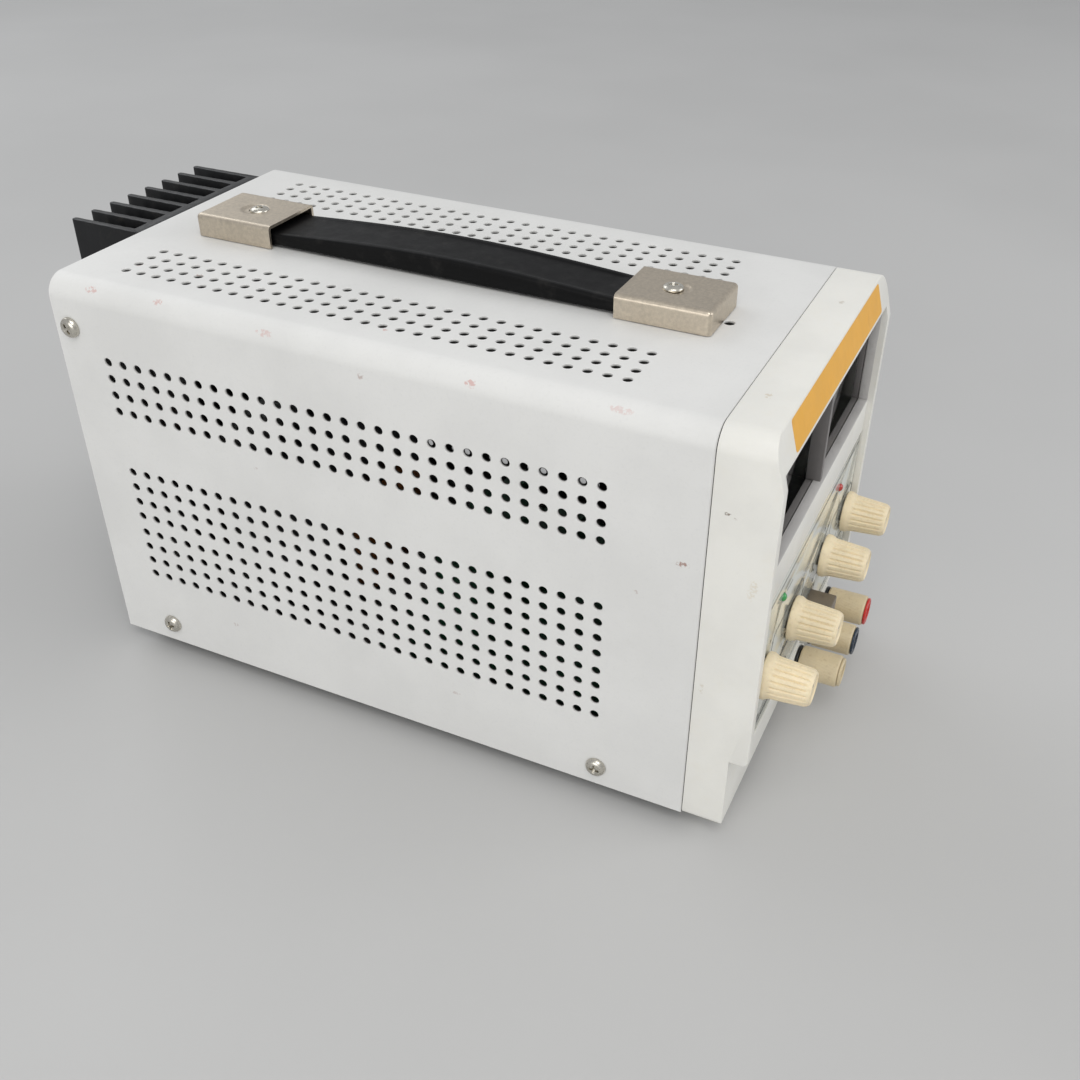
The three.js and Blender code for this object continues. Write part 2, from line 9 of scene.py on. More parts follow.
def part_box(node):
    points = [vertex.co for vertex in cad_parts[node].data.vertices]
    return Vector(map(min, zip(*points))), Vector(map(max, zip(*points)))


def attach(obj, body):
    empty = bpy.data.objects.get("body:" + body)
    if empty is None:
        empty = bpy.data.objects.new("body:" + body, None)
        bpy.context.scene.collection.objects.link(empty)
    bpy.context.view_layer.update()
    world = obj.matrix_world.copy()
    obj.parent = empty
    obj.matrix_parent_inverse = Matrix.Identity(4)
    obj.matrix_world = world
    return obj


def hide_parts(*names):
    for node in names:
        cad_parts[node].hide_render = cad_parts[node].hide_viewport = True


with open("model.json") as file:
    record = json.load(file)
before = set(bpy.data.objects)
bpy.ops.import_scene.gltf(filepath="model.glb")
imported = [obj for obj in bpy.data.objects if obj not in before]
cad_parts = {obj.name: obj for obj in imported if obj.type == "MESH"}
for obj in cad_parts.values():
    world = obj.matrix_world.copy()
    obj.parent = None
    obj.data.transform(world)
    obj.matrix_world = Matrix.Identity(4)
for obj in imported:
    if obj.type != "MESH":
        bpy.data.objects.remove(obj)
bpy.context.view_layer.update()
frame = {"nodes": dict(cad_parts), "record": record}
NODES = frame["nodes"]
M = 0.001
PI = math.pi


def nbox(node):
    """CAD node's corners in millimetres."""
    lo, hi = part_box(node)
    return [c / M for c in lo], [c / M for c in hi]


# the folded cover: half width, top, lower edge, ends, sheet and outside fold radius
lo, hi = nbox("case_cover")
HALF, TOP, SKIRT = hi[0], hi[2], lo[2]
CY0, CY1 = lo[1], hi[1]
SHEET, FOLD = 1.2, 7.0


# ------------------------------------------------------------------ materials
class Mat:
    def __init__(self, name):
        self.m = bpy.data.materials.new(name)
        self.m.use_nodes = True
        self.t = self.m.node_tree
        self.t.nodes.clear()
        self.out = self.t.nodes.new("ShaderNodeOutputMaterial")
        self.b = self.t.nodes.new("ShaderNodeBsdfPrincipled")
        self.link(self.b.outputs["BSDF"], self.out.inputs["Surface"])
        self.co = self.t.nodes.new("ShaderNodeTexCoord").outputs["Object"]

    def link(self, a, b):
        self.t.links.new(a, b)

    def set(self, sock, v):
        if hasattr(v, "links") or isinstance(v, bpy.types.NodeSocket):
            self.link(v, sock)
        else:
            sock.default_value = v

    def math(self, op, a, b=None, c=None, clamp=False):
        n = self.t.nodes.new("ShaderNodeMath")
        n.operation = op
        n.use_clamp = clamp
        self.set(n.inputs[0], a)
        if b is not None:
            self.set(n.inputs[1], b)
        if c is not None:
            self.set(n.inputs[2], c)
        return n.outputs[0]

    def vmath(self, op, a, b=None, out=0):
        n = self.t.nodes.new("ShaderNodeVectorMath")
        n.operation = op
        self.set(n.inputs[0], a)
        if b is not None:
            self.set(n.inputs[1], b)
        return n.outputs[out]

    def noise(self, scale, detail=3.0, rough=0.55, stretch=None, seed=0.0):
        co = self.co
        if stretch or seed:
            mp = self.t.nodes.new("ShaderNodeMapping")
            mp.inputs["Scale"].default_value = stretch or (1, 1, 1)
            mp.inputs["Location"].default_value = (seed, seed * 0.7, -seed * 0.4)
            self.link(co, mp.inputs["Vector"])
            co = mp.outputs["Vector"]
        n = self.t.nodes.new("ShaderNodeTexNoise")
        n.inputs["Scale"].default_value = scale
        n.inputs["Detail"].default_value = detail
        n.inputs["Roughness"].default_value = rough
        self.link(co, n.inputs["Vector"])
        return n.outputs["Fac"]

    def voronoi(self, scale):
        n = self.t.nodes.new("ShaderNodeTexVoronoi")
        n.inputs["Scale"].default_value = scale
        self.link(self.co, n.inputs["Vector"])
        return n.outputs["Distance"]

    def rng(self, v, a, b, c=0.0, d=1.0):
        n = self.t.nodes.new("ShaderNodeMapRange")
        n.interpolation_type = "SMOOTHSTEP"
        n.clamp = True
        self.set(n.inputs[0], v)
        for i, k in enumerate((a, b, c, d)):
            n.inputs[i + 1].default_value = k
        return n.outputs[0]

    def mix(self, f, a, b):
        n = self.t.nodes.new("ShaderNodeMix")
        n.data_type = "RGBA"
        self.set(n.inputs[0], f)
        self.set(n.inputs[6], a if not isinstance(a, tuple) else (*a, 1.0))
        self.set(n.inputs[7], b if not isinstance(b, tuple) else (*b, 1.0))
        return n.outputs[2]

    def bump(self, *layers):
        """layers: (height socket, strength, distance in mm)."""
        last = None
        for h, s, d in layers:
            n = self.t.nodes.new("ShaderNodeBump")
            n.inputs["Strength"].default_value = s
            n.inputs["Distance"].default_value = d * M
            self.link(h, n.inputs["Height"])
            if last is not None:
                self.link(last, n.inputs["Normal"])
            last = n.outputs["Normal"]
        self.link(last, self.b.inputs["Normal"])

    def edge(self, radius, lo=0.02, hi=0.3):
        """1 close to a sharp edge."""
        bv = self.t.nodes.new("ShaderNodeBevel")
        bv.samples = 4
        bv.inputs["Radius"].default_value = radius * M
        g = self.t.nodes.new("ShaderNodeNewGeometry")
        d = self.vmath("DOT_PRODUCT", bv.outputs["Normal"], g.outputs["Normal"], out=1)
        return self.rng(self.math("SUBTRACT", 1.0, d), lo, hi)

    def spot(self, centre, size, seed=0.0, thresh=0.45, scale=900.0):
        """A ragged mark round a point, in millimetres."""
        d = self.vmath("SUBTRACT", self.co, tuple(c * M for c in centre))
        d = self.vmath("DIVIDE", d, tuple(s * M for s in size))
        r = self.vmath("LENGTH", d, out=1)
        n = self.noise(scale, 4.0, 0.65, seed=seed + 0.31)
        near = self.rng(r, 0.2, 1.0, 1.0, 0.0)
        return self.rng(self.math("MULTIPLY", near, self.rng(n, 0.35, 0.62)), thresh * 0.6, thresh + 0.25)


def lin(r, g, b):
    """sRGB 0..255 to linear."""
    f = lambda c: (c / 255 / 12.92) if c <= 10.3 else ((c / 255 + 0.055) / 1.055) ** 2.4
    return (f(r), f(g), f(b))


def shade(c, k):
    return tuple(min(1.0, x * k) for x in c)


def basic(name, col, rough, metal=0.0, var=0.05, vscale=60.0, fine=2200.0, fstr=0.25, fdist=0.03,
          rvar=0.06, spec=0.5, coat=0.0, edge=None, edge_r=0.5, grime=None, stretch=None, ior=None):
    """Colour variation at two scales, fine bump, uneven gloss, recoloured edges: worn edges on some materials, painted
    highlights on others.
    """
    k = Mat(name)
    big = k.noise(vscale, 4.0, 0.6)
    small = k.noise(vscale * 9, 3.0, 0.6, stretch=stretch, seed=2.7)
    base = k.mix(k.rng(big, 0.3, 0.7), shade(col, 1 - var), shade(col, 1 + var))
    base = k.mix(k.math("MULTIPLY", k.rng(small, 0.45, 0.75), 0.35), base, shade(col, 1 - 2.2 * var))
    if grime:
        gcol, amount = grime
        base = k.mix(k.math("MULTIPLY", k.rng(k.noise(vscale * 1.7, 5.0, 0.7, seed=5.1), 0.52, 0.75), amount), base, gcol)
    # edge colour: real wear on some materials, a painted highlight on others (the label and the heat sink)
    if edge:
        edge_wear_or_highlight_col, amount = edge
        edge_wear_or_highlight_mask = k.math("MULTIPLY", k.edge(edge_r), k.rng(k.noise(420, 4.0, 0.7, seed=8.3), 0.40, 0.68))
        base = k.mix(k.math("MULTIPLY", edge_wear_or_highlight_mask, amount), base, edge_wear_or_highlight_col)
    k.link(base, k.b.inputs["Base Color"])
    fn = k.noise(fine, 2.0, 0.5, stretch=stretch, seed=1.1)
    r = k.math("ADD", k.math("MULTIPLY", k.math("SUBTRACT", k.noise(vscale * 3, 4.0, 0.6, seed=3.9), 0.5), rvar * 2), rough, clamp=True)
    k.link(r, k.b.inputs["Roughness"])
    k.b.inputs["Metallic"].default_value = metal
    k.b.inputs["Specular IOR Level"].default_value = spec
    if ior:
        k.b.inputs["IOR"].default_value = ior
    if coat:
        k.b.inputs["Coat Weight"].default_value = coat
        k.b.inputs["Coat Roughness"].default_value = 0.12
    k.bump((k.noise(vscale * 2.2, 2.0, 0.5, seed=6.6), 0.12, 0.12), (fn, fstr, fdist))
    return k


# powder-coated cover, with its scuffs
def cover_material():
    k = Mat("powder_coat_light_grey")
    col = lin(221, 221, 219)
    big = k.noise(26, 5.0, 0.6)
    small = k.noise(900, 3.0, 0.6, seed=2.0)
    base = k.mix(k.rng(big, 0.3, 0.7), shade(col, 0.965), shade(col, 1.03))
    base = k.mix(k.math("MULTIPLY", k.rng(small, 0.5, 0.8), 0.25), base, shade(col, 0.86))
    # faint handling marks
    smear = k.rng(k.noise(70, 6.0, 0.72, stretch=(1, 0.45, 1.3), seed=9.0), 0.60, 0.82)
    base = k.mix(k.math("MULTIPLY", smear, 0.10), base, lin(176, 168, 160))
    # worn, dirty sheet edges
    wear = k.math("MULTIPLY", k.edge(0.45), k.rng(k.noise(300, 4.0, 0.7, seed=4.4), 0.47, 0.72))
    base = k.mix(k.math("MULTIPLY", wear, 0.45), base, lin(150, 140, 130))
    rust = lin(142, 92, 72)
    pink = lin(200, 142, 134)
    marks = [
        ((-63.5, -105.2, 102.2), (1.6, 3.6, 1.5), rust, 0.85, 1.0),
        ((-63.4, -92.0, 88.5), (1.2, 1.4, 1.1), rust, 0.35, 1.7),
        ((-42.5, 92.6, 146.5), (2.4, 1.3, 1.0), rust, 0.55, 2.2),
        ((-40.6, 70.0, 146.5), (1.4, 2.4, 1.0), rust, 0.6, 3.1),
        ((-62.6, -39.5, 142.8), (1.6, 3.2, 2.4), pink, 0.7, 4.0),
        ((-60.8, 70.2, 145.0), (2.2, 3.0, 1.6), pink, 0.6, 5.2),
        ((-61.5, 96.0, 144.6), (2.2, 4.0, 2.0), pink, 0.6, 6.1),
        ((-63.2, -4.0, 137.5), (1.2, 2.0, 2.0), rust, 0.5, 7.3),
        ((-49.8, -4.5, 146.5), (1.3, 1.8, 1.0), pink, 0.55, 8.8),
        ((-62.0, 30.0, 143.4), (1.8, 5.0, 2.0), pink, 0.45, 9.4),
        ((-61.2, -84.0, 144.4), (1.8, 6.0, 2.0), pink, 0.35, 10.4),
        ((-63.4, 40.0, 95.0), (1.0, 1.6, 0.9), rust, 0.35, 11.9),
        ((-63.4, 60.0, 24.0), (1.0, 2.4, 1.4), rust, 0.35, 12.3),
        ((-63.4, -30.0, 26.0), (1.0, 3.4, 1.0), rust, 0.3, 13.6),
        ((63.4, 20.0, 88.0), (1.2, 3.4, 2.0), rust, 0.6, 14.2),
        ((62.0, -60.0, 143.4), (2.0, 4.6, 2.0), pink, 0.6, 15.5),
        ((63.4, -88.0, 26.0), (1.2, 2.2, 1.6), rust, 0.5, 16.6),
        ((24.0, 98.0, 146.5), (3.0, 1.6, 1.0), rust, 0.45, 17.9),
    ]
    for c, s, colour, amount, seed in marks:
        base = k.mix(k.math("MULTIPLY", k.spot(c, s, seed), amount * 0.85), base, colour)
    # painted shade: the inside of the folded sheet and the walls of its holes are darkened, standing in for the shade
    # inside the case
    sep = k.t.nodes.new("ShaderNodeSeparateXYZ")
    k.link(k.co, sep.inputs[0])
    qx = k.math("MAXIMUM", k.math("SUBTRACT", k.math("ABSOLUTE", sep.outputs[0]), (HALF - FOLD) * M), 0.0)
    qz = k.math("MAXIMUM", k.math("SUBTRACT", sep.outputs[2], (TOP - FOLD) * M), 0.0)
    depth = k.math("SUBTRACT", FOLD * M, k.math("SQRT", k.math("ADD", k.math("MULTIPLY", qx, qx), k.math("MULTIPLY", qz, qz))))
    painted_inner_shade = k.math("MULTIPLY", k.rng(depth, 0.00045, 0.00085), k.rng(sep.outputs[1], (CY1 - 0.6) * M, (CY1 - 0.35) * M, 1.0, 0.0))
    base = k.mix(painted_inner_shade, base, lin(44, 43, 42))
    k.link(base, k.b.inputs["Base Color"])
    r = k.math("ADD", k.math("MULTIPLY", k.noise(180, 4.0, 0.6, seed=3.9), 0.16), 0.40, clamp=True)
    k.link(r, k.b.inputs["Roughness"])
    k.b.inputs["Specular IOR Level"].default_value = 0.45
    k.bump((k.noise(750, 3.0, 0.6, seed=7.7), 0.35, 0.05), (k.noise(2600, 2.0, 0.5, seed=1.1), 0.3, 0.02))
    return k.m


def bezel_material():
    k = Mat("bezel_warm_white")
    col = lin(231, 230, 224)
    base = k.mix(k.rng(k.noise(40, 5.0, 0.6), 0.3, 0.7), shade(col, 0.965), shade(col, 1.025))
    base = k.mix(k.math("MULTIPLY", k.rng(k.noise(1300, 3.0, 0.6, seed=2.0), 0.55, 0.8), 0.22), base, shade(col, 0.88))
    yellow = k.rng(k.noise(55, 4.0, 0.7, seed=12.0), 0.5, 0.8)
    base = k.mix(k.math("MULTIPLY", yellow, 0.25), base, lin(228, 220, 200))
    dirt = k.math("MULTIPLY", k.edge(0.5), k.rng(k.noise(260, 4.0, 0.7, seed=4.4), 0.50, 0.74))
    base = k.mix(k.math("MULTIPLY", dirt, 0.35), base, lin(170, 160, 142))
    for c, s, colour, amount, seed in [
        ((-63.5, -116.2, 122.2), (1.4, 1.9, 0.9), lin(120, 104, 90), 0.85, 1.0),
        ((-63.5, -118.6, 121.2), (1.4, 1.1, 0.7), lin(120, 104, 90), 0.6, 1.9),
        ((-40.0, -118.0, 146.5), (2.6, 2.2, 1.0), lin(196, 178, 150), 0.5, 2.4),
        ((30.0, -120.0, 146.5), (2.2, 1.6, 1.0), lin(180, 168, 150), 0.5, 3.3),
        ((-63.0, -125.5, 100.0), (1.4, 3.0, 8.0), lin(205, 190, 160), 0.35, 4.8),
        ((-63.2, -114.0, 60.0), (1.2, 1.6, 3.6), lin(186, 170, 140), 0.35, 5.9),
    ]:
        base = k.mix(k.math("MULTIPLY", k.spot(c, s, seed), amount), base, colour)
    k.link(base, k.b.inputs["Base Color"])
    r = k.math("ADD", k.math("MULTIPLY", k.noise(220, 4.0, 0.6, seed=3.9), 0.14), 0.38, clamp=True)
    k.link(r, k.b.inputs["Roughness"])
    k.b.inputs["Subsurface Weight"].default_value = 0.04
    k.b.inputs["Subsurface Radius"].default_value = (0.001, 0.0009, 0.0007)
    k.bump((k.noise(520, 3.0, 0.6, seed=7.7), 0.22, 0.05), (k.noise(3000, 2.0, 0.5, seed=1.1), 0.22, 0.015))
    return k.m


def ivory(name, col, dirt=0.4):
    k = Mat(name)
    base = k.mix(k.rng(k.noise(120, 5.0, 0.6), 0.3, 0.7), shade(col, 0.92), shade(col, 1.04))
    base = k.mix(k.math("MULTIPLY", k.rng(k.noise(700, 4.0, 0.7, seed=5.0), 0.5, 0.78), dirt), base, lin(172, 146, 104))
    edge = k.math("MULTIPLY", k.edge(0.35), k.rng(k.noise(500, 3.0, 0.6, seed=8.0), 0.38, 0.66))
    base = k.mix(k.math("MULTIPLY", edge, 0.35), base, lin(244, 232, 200))
    k.link(base, k.b.inputs["Base Color"])
    r = k.math("ADD", k.math("MULTIPLY", k.noise(400, 4.0, 0.6, seed=3.9), 0.2), 0.33, clamp=True)
    k.link(r, k.b.inputs["Roughness"])
    k.b.inputs["Subsurface Weight"].default_value = 0.08
    k.b.inputs["Subsurface Radius"].default_value = (0.0012, 0.0009, 0.0005)
    k.bump((k.noise(600, 3.0, 0.6, seed=7.7), 0.25, 0.06), (k.noise(3400, 2.0, 0.5, seed=1.1), 0.25, 0.02))
    return k.m


def pane_material():
    k = Mat("smoked_pane_gloss")
    col = (0.012, 0.014, 0.016)
    base = k.mix(k.rng(k.noise(50, 4.0, 0.6), 0.3, 0.7), col, (0.020, 0.022, 0.024))
    k.link(base, k.b.inputs["Base Color"])
    r = k.math("ADD", k.math("MULTIPLY", k.rng(k.noise(160, 5.0, 0.7, stretch=(1, 1, 0.5), seed=3.9), 0.55, 0.8), 0.10), 0.025, clamp=True)
    k.link(r, k.b.inputs["Roughness"])
    k.b.inputs["IOR"].default_value = 1.9
    k.b.inputs["Coat Weight"].default_value = 1.0
    k.b.inputs["Coat IOR"].default_value = 1.9
    k.b.inputs["Coat Roughness"].default_value = 0.02
    k.b.inputs["Alpha"].default_value = 0.94
    k.bump((k.noise(30, 2.0, 0.5, seed=7.7), 0.03, 0.2), (k.noise(1800, 2.0, 0.5, seed=1.1), 0.02, 0.01))
    return k.m


def brushed(name, col, rough, streak, wearcol=None, coat=0.0):
    """Metal with fine streaks; streak is the stretch of the noise."""
    k = Mat(name)
    s = k.noise(900, 4.0, 0.65, stretch=streak, seed=1.4)
    base = k.mix(k.rng(s, 0.3, 0.7), shade(col, 0.88), shade(col, 1.06))
    base = k.mix(k.math("MULTIPLY", k.rng(k.noise(140, 5.0, 0.7, seed=5.0), 0.5, 0.8), 0.35), base, shade(col, 0.74))
    e = k.math("MULTIPLY", k.edge(0.4), k.rng(k.noise(500, 3.0, 0.6, seed=8.0), 0.3, 0.6))
    base = k.mix(k.math("MULTIPLY", e, 0.5), base, wearcol or shade(col, 1.25))
    k.link(base, k.b.inputs["Base Color"])
    k.b.inputs["Metallic"].default_value = 1.0
    r = k.math("ADD", k.math("MULTIPLY", k.math("ADD", s, k.noise(160, 4.0, 0.6, seed=3.9)), 0.14), rough - 0.12, clamp=True)
    k.link(r, k.b.inputs["Roughness"])
    k.bump((k.noise(260, 3.0, 0.6, seed=7.7), 0.08, 0.06), (s, 0.16, 0.012))
    return k.m


MAT = {
    "cover": cover_material(),
    "bezel": bezel_material(),
    "knob": ivory("ivory_knob", lin(238, 222, 188), 0.28),
    "cap": ivory("ivory_post", lin(213, 197, 163), 0.45),
    "pane": pane_material(),
    "panel": basic("panel_gloss_grey", lin(206, 209, 201), 0.16, var=0.02, vscale=45, fine=2400, fstr=0.06, fdist=0.01, rvar=0.05, coat=0.5,
                   grime=(lin(176, 170, 156), 0.18)).m,
    "ink": basic("printed_ink", lin(52, 54, 56), 0.35, var=0.1, fstr=0.1).m,
    "frame": basic("window_frame_dark", lin(116, 113, 112), 0.40, var=0.08, fine=1800, fstr=0.2, edge=(lin(150, 150, 150), 0.5), grime=(lin(130, 122, 112), 0.3)).m,
    # painted shade: a grey lining for the white bezel's window walls, standing in for their shade
    "wall_painted_shade": basic("window_lining_grey", lin(196, 194, 192), 0.34, var=0.05, fine=1800, fstr=0.15, grime=(lin(120, 114, 106), 0.3)).m,
    "readout": basic("readout_block", (0.018, 0.016, 0.016), 0.35, var=0.15, fstr=0.15).m,
    "segment": basic("segment_unlit", lin(92, 66, 64), 0.28, var=0.1, fstr=0.1).m,
    # painted highlight: a paler yellow along the label's edges
    "label": basic("label_yellow", lin(240, 176, 42), 0.34, var=0.035, vscale=70, fine=1500, fstr=0.08, fdist=0.02, rvar=0.08, coat=0.08, spec=0.4,
                   grime=(lin(214, 150, 40), 0.35), edge=(lin(246, 214, 130), 0.5)).m,
    "label_edge": basic("label_edge_cream", lin(246, 238, 214), 0.4, var=0.03).m,
    "nickel": brushed("nickel_satin", lin(204, 193, 176), 0.36, (1, 1, 1), lin(240, 232, 218)),
    "screw": brushed("screw_nickel_bright", lin(206, 202, 192), 0.25, (1, 1, 1)),
    "screw_slot": basic("screw_recess_dirt", lin(64, 54, 44), 0.6, metal=0.3, var=0.2).m,
    "shaft": brushed("shaft_turned", lin(188, 186, 182), 0.28, (1, 7, 1)),
    "strap": basic("strap_black_vinyl", lin(9, 9, 10), 0.47, spec=0.14, var=0.16, vscale=80, fine=1500, fstr=0.5, fdist=0.05, rvar=0.12,
                   edge=(lin(84, 83, 82), 0.45), edge_r=0.7, grime=(lin(50, 48, 46), 0.35)).m,
    # painted highlight: light grey along the edges of the fins
    "sink": basic("anodised_black", lin(18, 19, 21), 0.44, metal=0.3, var=0.15, vscale=120, fine=1400, fstr=0.25, fdist=0.03, rvar=0.12,
                  edge=(lin(120, 122, 124), 0.55), edge_r=0.35, grime=(lin(70, 66, 60), 0.30), stretch=(1, 1, 0.15)).m,
    "steel": brushed("zinc_plated_sheet", lin(186, 188, 186), 0.42, (1, 1, 0.25)),
    "black": basic("black_moulding", lin(28, 28, 30), 0.42, var=0.12, vscale=90, fine=1900, fstr=0.35, fdist=0.03, edge=(lin(80, 80, 82), 0.5), grime=(lin(70, 66, 60), 0.22)).m,
    "collar": basic("collar_black", lin(24, 24, 26), 0.4, var=0.12, fstr=0.2).m,
    "button": basic("button_grey_brown", lin(112, 103, 90), 0.40, var=0.07, vscale=200, fine=1900, fstr=0.3, edge=(lin(160, 150, 134), 0.6), grime=(lin(86, 76, 64), 0.35)).m,
    "red": basic("ring_red", lin(196, 44, 36), 0.28, var=0.08, vscale=200, fstr=0.15, edge=(lin(226, 120, 110), 0.4)).m,
    "navy": basic("ring_navy", lin(30, 44, 60), 0.26, var=0.1, vscale=200, fstr=0.15, edge=(lin(120, 134, 150), 0.6)).m,
    "plain": basic("ring_plain", lin(206, 190, 156), 0.36, var=0.06, vscale=200, fstr=0.2).m,
    "brass": brushed("stud_nickel_brass", lin(206, 188, 138), 0.28, (1, 1, 1)),
    "rubber": basic("foot_rubber_black", lin(36, 36, 37), 0.72, var=0.15, vscale=100, fine=1700, fstr=0.5, fdist=0.05, grime=(lin(92, 88, 80), 0.4)).m,
    "board": basic("circuit_board_green", lin(32, 92, 62), 0.35, var=0.12, vscale=120, fine=1500, fstr=0.2, coat=0.3).m,
    "copper": basic("winding_taped", lin(168, 104, 54), 0.42, metal=0.2, var=0.12, vscale=100, fine=900, fstr=0.4, stretch=(1, 1, 6)).m,
    "iron": brushed("core_laminations", lin(92, 94, 98), 0.5, (1, 1, 0.08)),
    "green": basic("lens_green", lin(54, 150, 78), 0.14, var=0.08, vscale=300, fstr=0.08, coat=0.6).m,
    "lens_red": basic("lens_red", lin(176, 40, 30), 0.14, var=0.08, vscale=300, fstr=0.08, coat=0.6).m,
    "pin": brushed("pin_plated", lin(200, 198, 192), 0.24, (1, 5, 1)),
}


# ------------------------------------------------------------------ mesh helpers
def smooth_by_angle(me, deg):
    bm = bmesh.new()
    bm.from_mesh(me)
    lim = math.radians(deg)
    for f in bm.faces:
        f.smooth = True
    for e in bm.edges:
        e.smooth = len(e.link_faces) == 2 and e.calc_face_angle(0.0) <= lim
    bm.to_mesh(me)
    bm.free()


def piece(name, me, mat, body="case", replaces=(), deg=30):
    ob = bpy.data.objects.new(name, me)
    bpy.context.scene.collection.objects.link(ob)
    me.materials.clear()
    me.materials.append(MAT[mat] if isinstance(mat, str) else mat)
    smooth_by_angle(me, deg)
    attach(ob, body)
    if replaces:
        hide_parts(*replaces)
    return ob


def mesh_of(name, verts, faces, recalc=True):
    """verts in millimetres."""
    me = bpy.data.meshes.new(name)
    me.from_pydata([(x * M, y * M, z * M) for x, y, z in verts], [], faces)
    bm = bmesh.new()
    bm.from_mesh(me)
    bmesh.ops.remove_doubles(bm, verts=bm.verts, dist=2e-6)
    bmesh.ops.dissolve_degenerate(bm, dist=1e-7, edges=bm.edges)
    if recalc:
        bmesh.ops.recalc_face_normals(bm, faces=bm.faces)
    bm.to_mesh(me)
    bm.free()
    return me


def applied(me, *mods):
    """me with these modifiers (type, settings) applied."""
    ob = bpy.data.objects.new("tmp_apply", me)
    bpy.context.scene.collection.objects.link(ob)
    for kind, settings in mods:
        mod = ob.modifiers.new(kind.lower(), kind)
        for k, v in settings.items():
            setattr(mod, k, v)
    dg = bpy.context.evaluated_depsgraph_get()
    new = bpy.data.meshes.new_from_object(ob.evaluated_get(dg))
    bpy.data.objects.remove(ob)
    return new


def refined(node, width, segs=2, angle=28.0, cuts=()):
    """The CAD node's shape with its sharp edges rounded; cuts split flat faces round an opening."""
    for simplify in (True, False):
        me = NODES[node].data.copy()
        bm = bmesh.new()
        bm.from_mesh(me)
        bmesh.ops.remove_doubles(bm, verts=bm.verts, dist=2e-6)
        if simplify:
            bmesh.ops.dissolve_limit(bm, angle_limit=math.radians(0.5), verts=bm.verts, edges=bm.edges)
        for axis, at in cuts:
            normal = Vector([1.0 if i == axis else 0.0 for i in range(3)])
            bmesh.ops.bisect_plane(bm, geom=bm.verts[:] + bm.edges[:] + bm.faces[:], dist=1e-7, plane_co=normal * at * M, plane_no=normal)
        bm.to_mesh(me)
        bm.free()
        me = applied(me, ("BEVEL", dict(width=width * M, segments=segs, limit_method="ANGLE", angle_limit=math.radians(angle),
                                        use_clamp_overlap=True, miter_outer="MITER_ARC")))
        # a face that wraps round an opening can be filled across it; its triangles then cover more than the face does
        me.calc_loop_triangles()
        flat, filled = sum(q.area for q in me.polygons), sum(t.area for t in me.loop_triangles)
        if abs(filled - flat) < 0.004 * flat:
            break
    return me


def refine(node, mat, width=0.25, segs=2, body="case", deg=40):
    return piece(node + "_look", refined(node, width, segs), mat, body, (node,), deg)


def boolean(me, tools, op="DIFFERENCE"):
    for t in tools:
        cutter = bpy.data.objects.new("tmp_cut", t)
        bpy.context.scene.collection.objects.link(cutter)
        me = applied(me, ("BOOLEAN", dict(object=cutter, operation=op, solver="EXACT")))
        bpy.data.objects.remove(cutter)
    return me


def join(*meshes):
    bm = bmesh.new()
    for m in meshes:
        bm.from_mesh(m)
    me = bpy.data.meshes.new("joined")
    bm.to_mesh(me)
    bm.free()
    return me


def turned(name, profile, x, z, n=48, radius=None, ydir=True):
    """Body of revolution about a line along Y. profile: (r, y) in mm, closed unless it starts and ends on the axis.
    radius(r, y, angle, index) may move the surface."""
    verts, faces = [], []
    closed = profile[0][0] > 1e-6
    P = profile
    for i, (r, y) in enumerate(P):
        for j in range(n):
            a = 2 * PI * j / n
            rr = radius(r, y, a, i) if radius else r
            verts.append((x + rr * math.cos(a), y, z + rr * math.sin(a)))
    rows = len(P)
    for i in range(rows if closed else rows - 1):
        k = (i + 1) % rows
        for j in range(n):
            l = (j + 1) % n
            faces.append((i * n + j, i * n + l, k * n + l, k * n + j))
    return mesh_of(name, verts, faces)


def prism(name, pts, axis, a, b):
    """Polygon of (u, v) swept along an axis: x -> (y, z), y -> (x, z), z -> (x, y)."""
    put = {"x": lambda u, v, t: (t, u, v), "y": lambda u, v, t: (u, t, v), "z": lambda u, v, t: (u, v, t)}[axis]
    n = len(pts)
    verts = [put(u, v, a) for u, v in pts] + [put(u, v, b) for u, v in pts]
    faces = [tuple(range(n)), tuple(range(2 * n - 1, n - 1, -1))]
    faces += [(i, (i + 1) % n, n + (i + 1) % n, n + i) for i in range(n)]
    return mesh_of(name, verts, faces)


def rounded_rect(x0, x1, z0, z1, r, n=5):
    pts = []
    for cx, cz, a0 in ((x1 - r, z1 - r, 0), (x0 + r, z1 - r, 90), (x0 + r, z0 + r, 180), (x1 - r, z0 + r, 270)):
        for i in range(n + 1):
            a = math.radians(a0 + 90 * i / n)
            pts.append((cx + r * math.cos(a), cz + r * math.sin(a)))
    return pts


def boxm(name, x0, x1, y0, y1, z0, z1, bevel=0.0, segs=2):
    me = prism(name, [(x0, z0), (x1, z0), (x1, z1), (x0, z1)], "y", y0, y1)
    if bevel:
        me = applied(me, ("BEVEL", dict(width=bevel * M, segments=segs, limit_method="ANGLE", angle_limit=math.radians(30))))
    return me


def ribbon(points, width, closed=False):
    """A flat line of this width along points (u, v): two lists of points, left and right."""
    n = len(points)
    left, right = [], []
    for i in range(n):
        p = Vector(points[i])
        a = Vector(points[(i - 1) % n]) if closed or i > 0 else None
        b = Vector(points[(i + 1) % n]) if closed or i < n - 1 else None
        d = ((p - a).normalized() if a is not None else Vector((0, 0))) + ((b - p).normalized() if b is not None else Vector((0, 0)))
        if d.length < 1e-9:
            d = Vector((1, 0))
        d.normalize()
        nrm = Vector((-d.y, d.x))
        left.append(p + nrm * width / 2)
        right.append(p - nrm * width / 2)
    return left, right


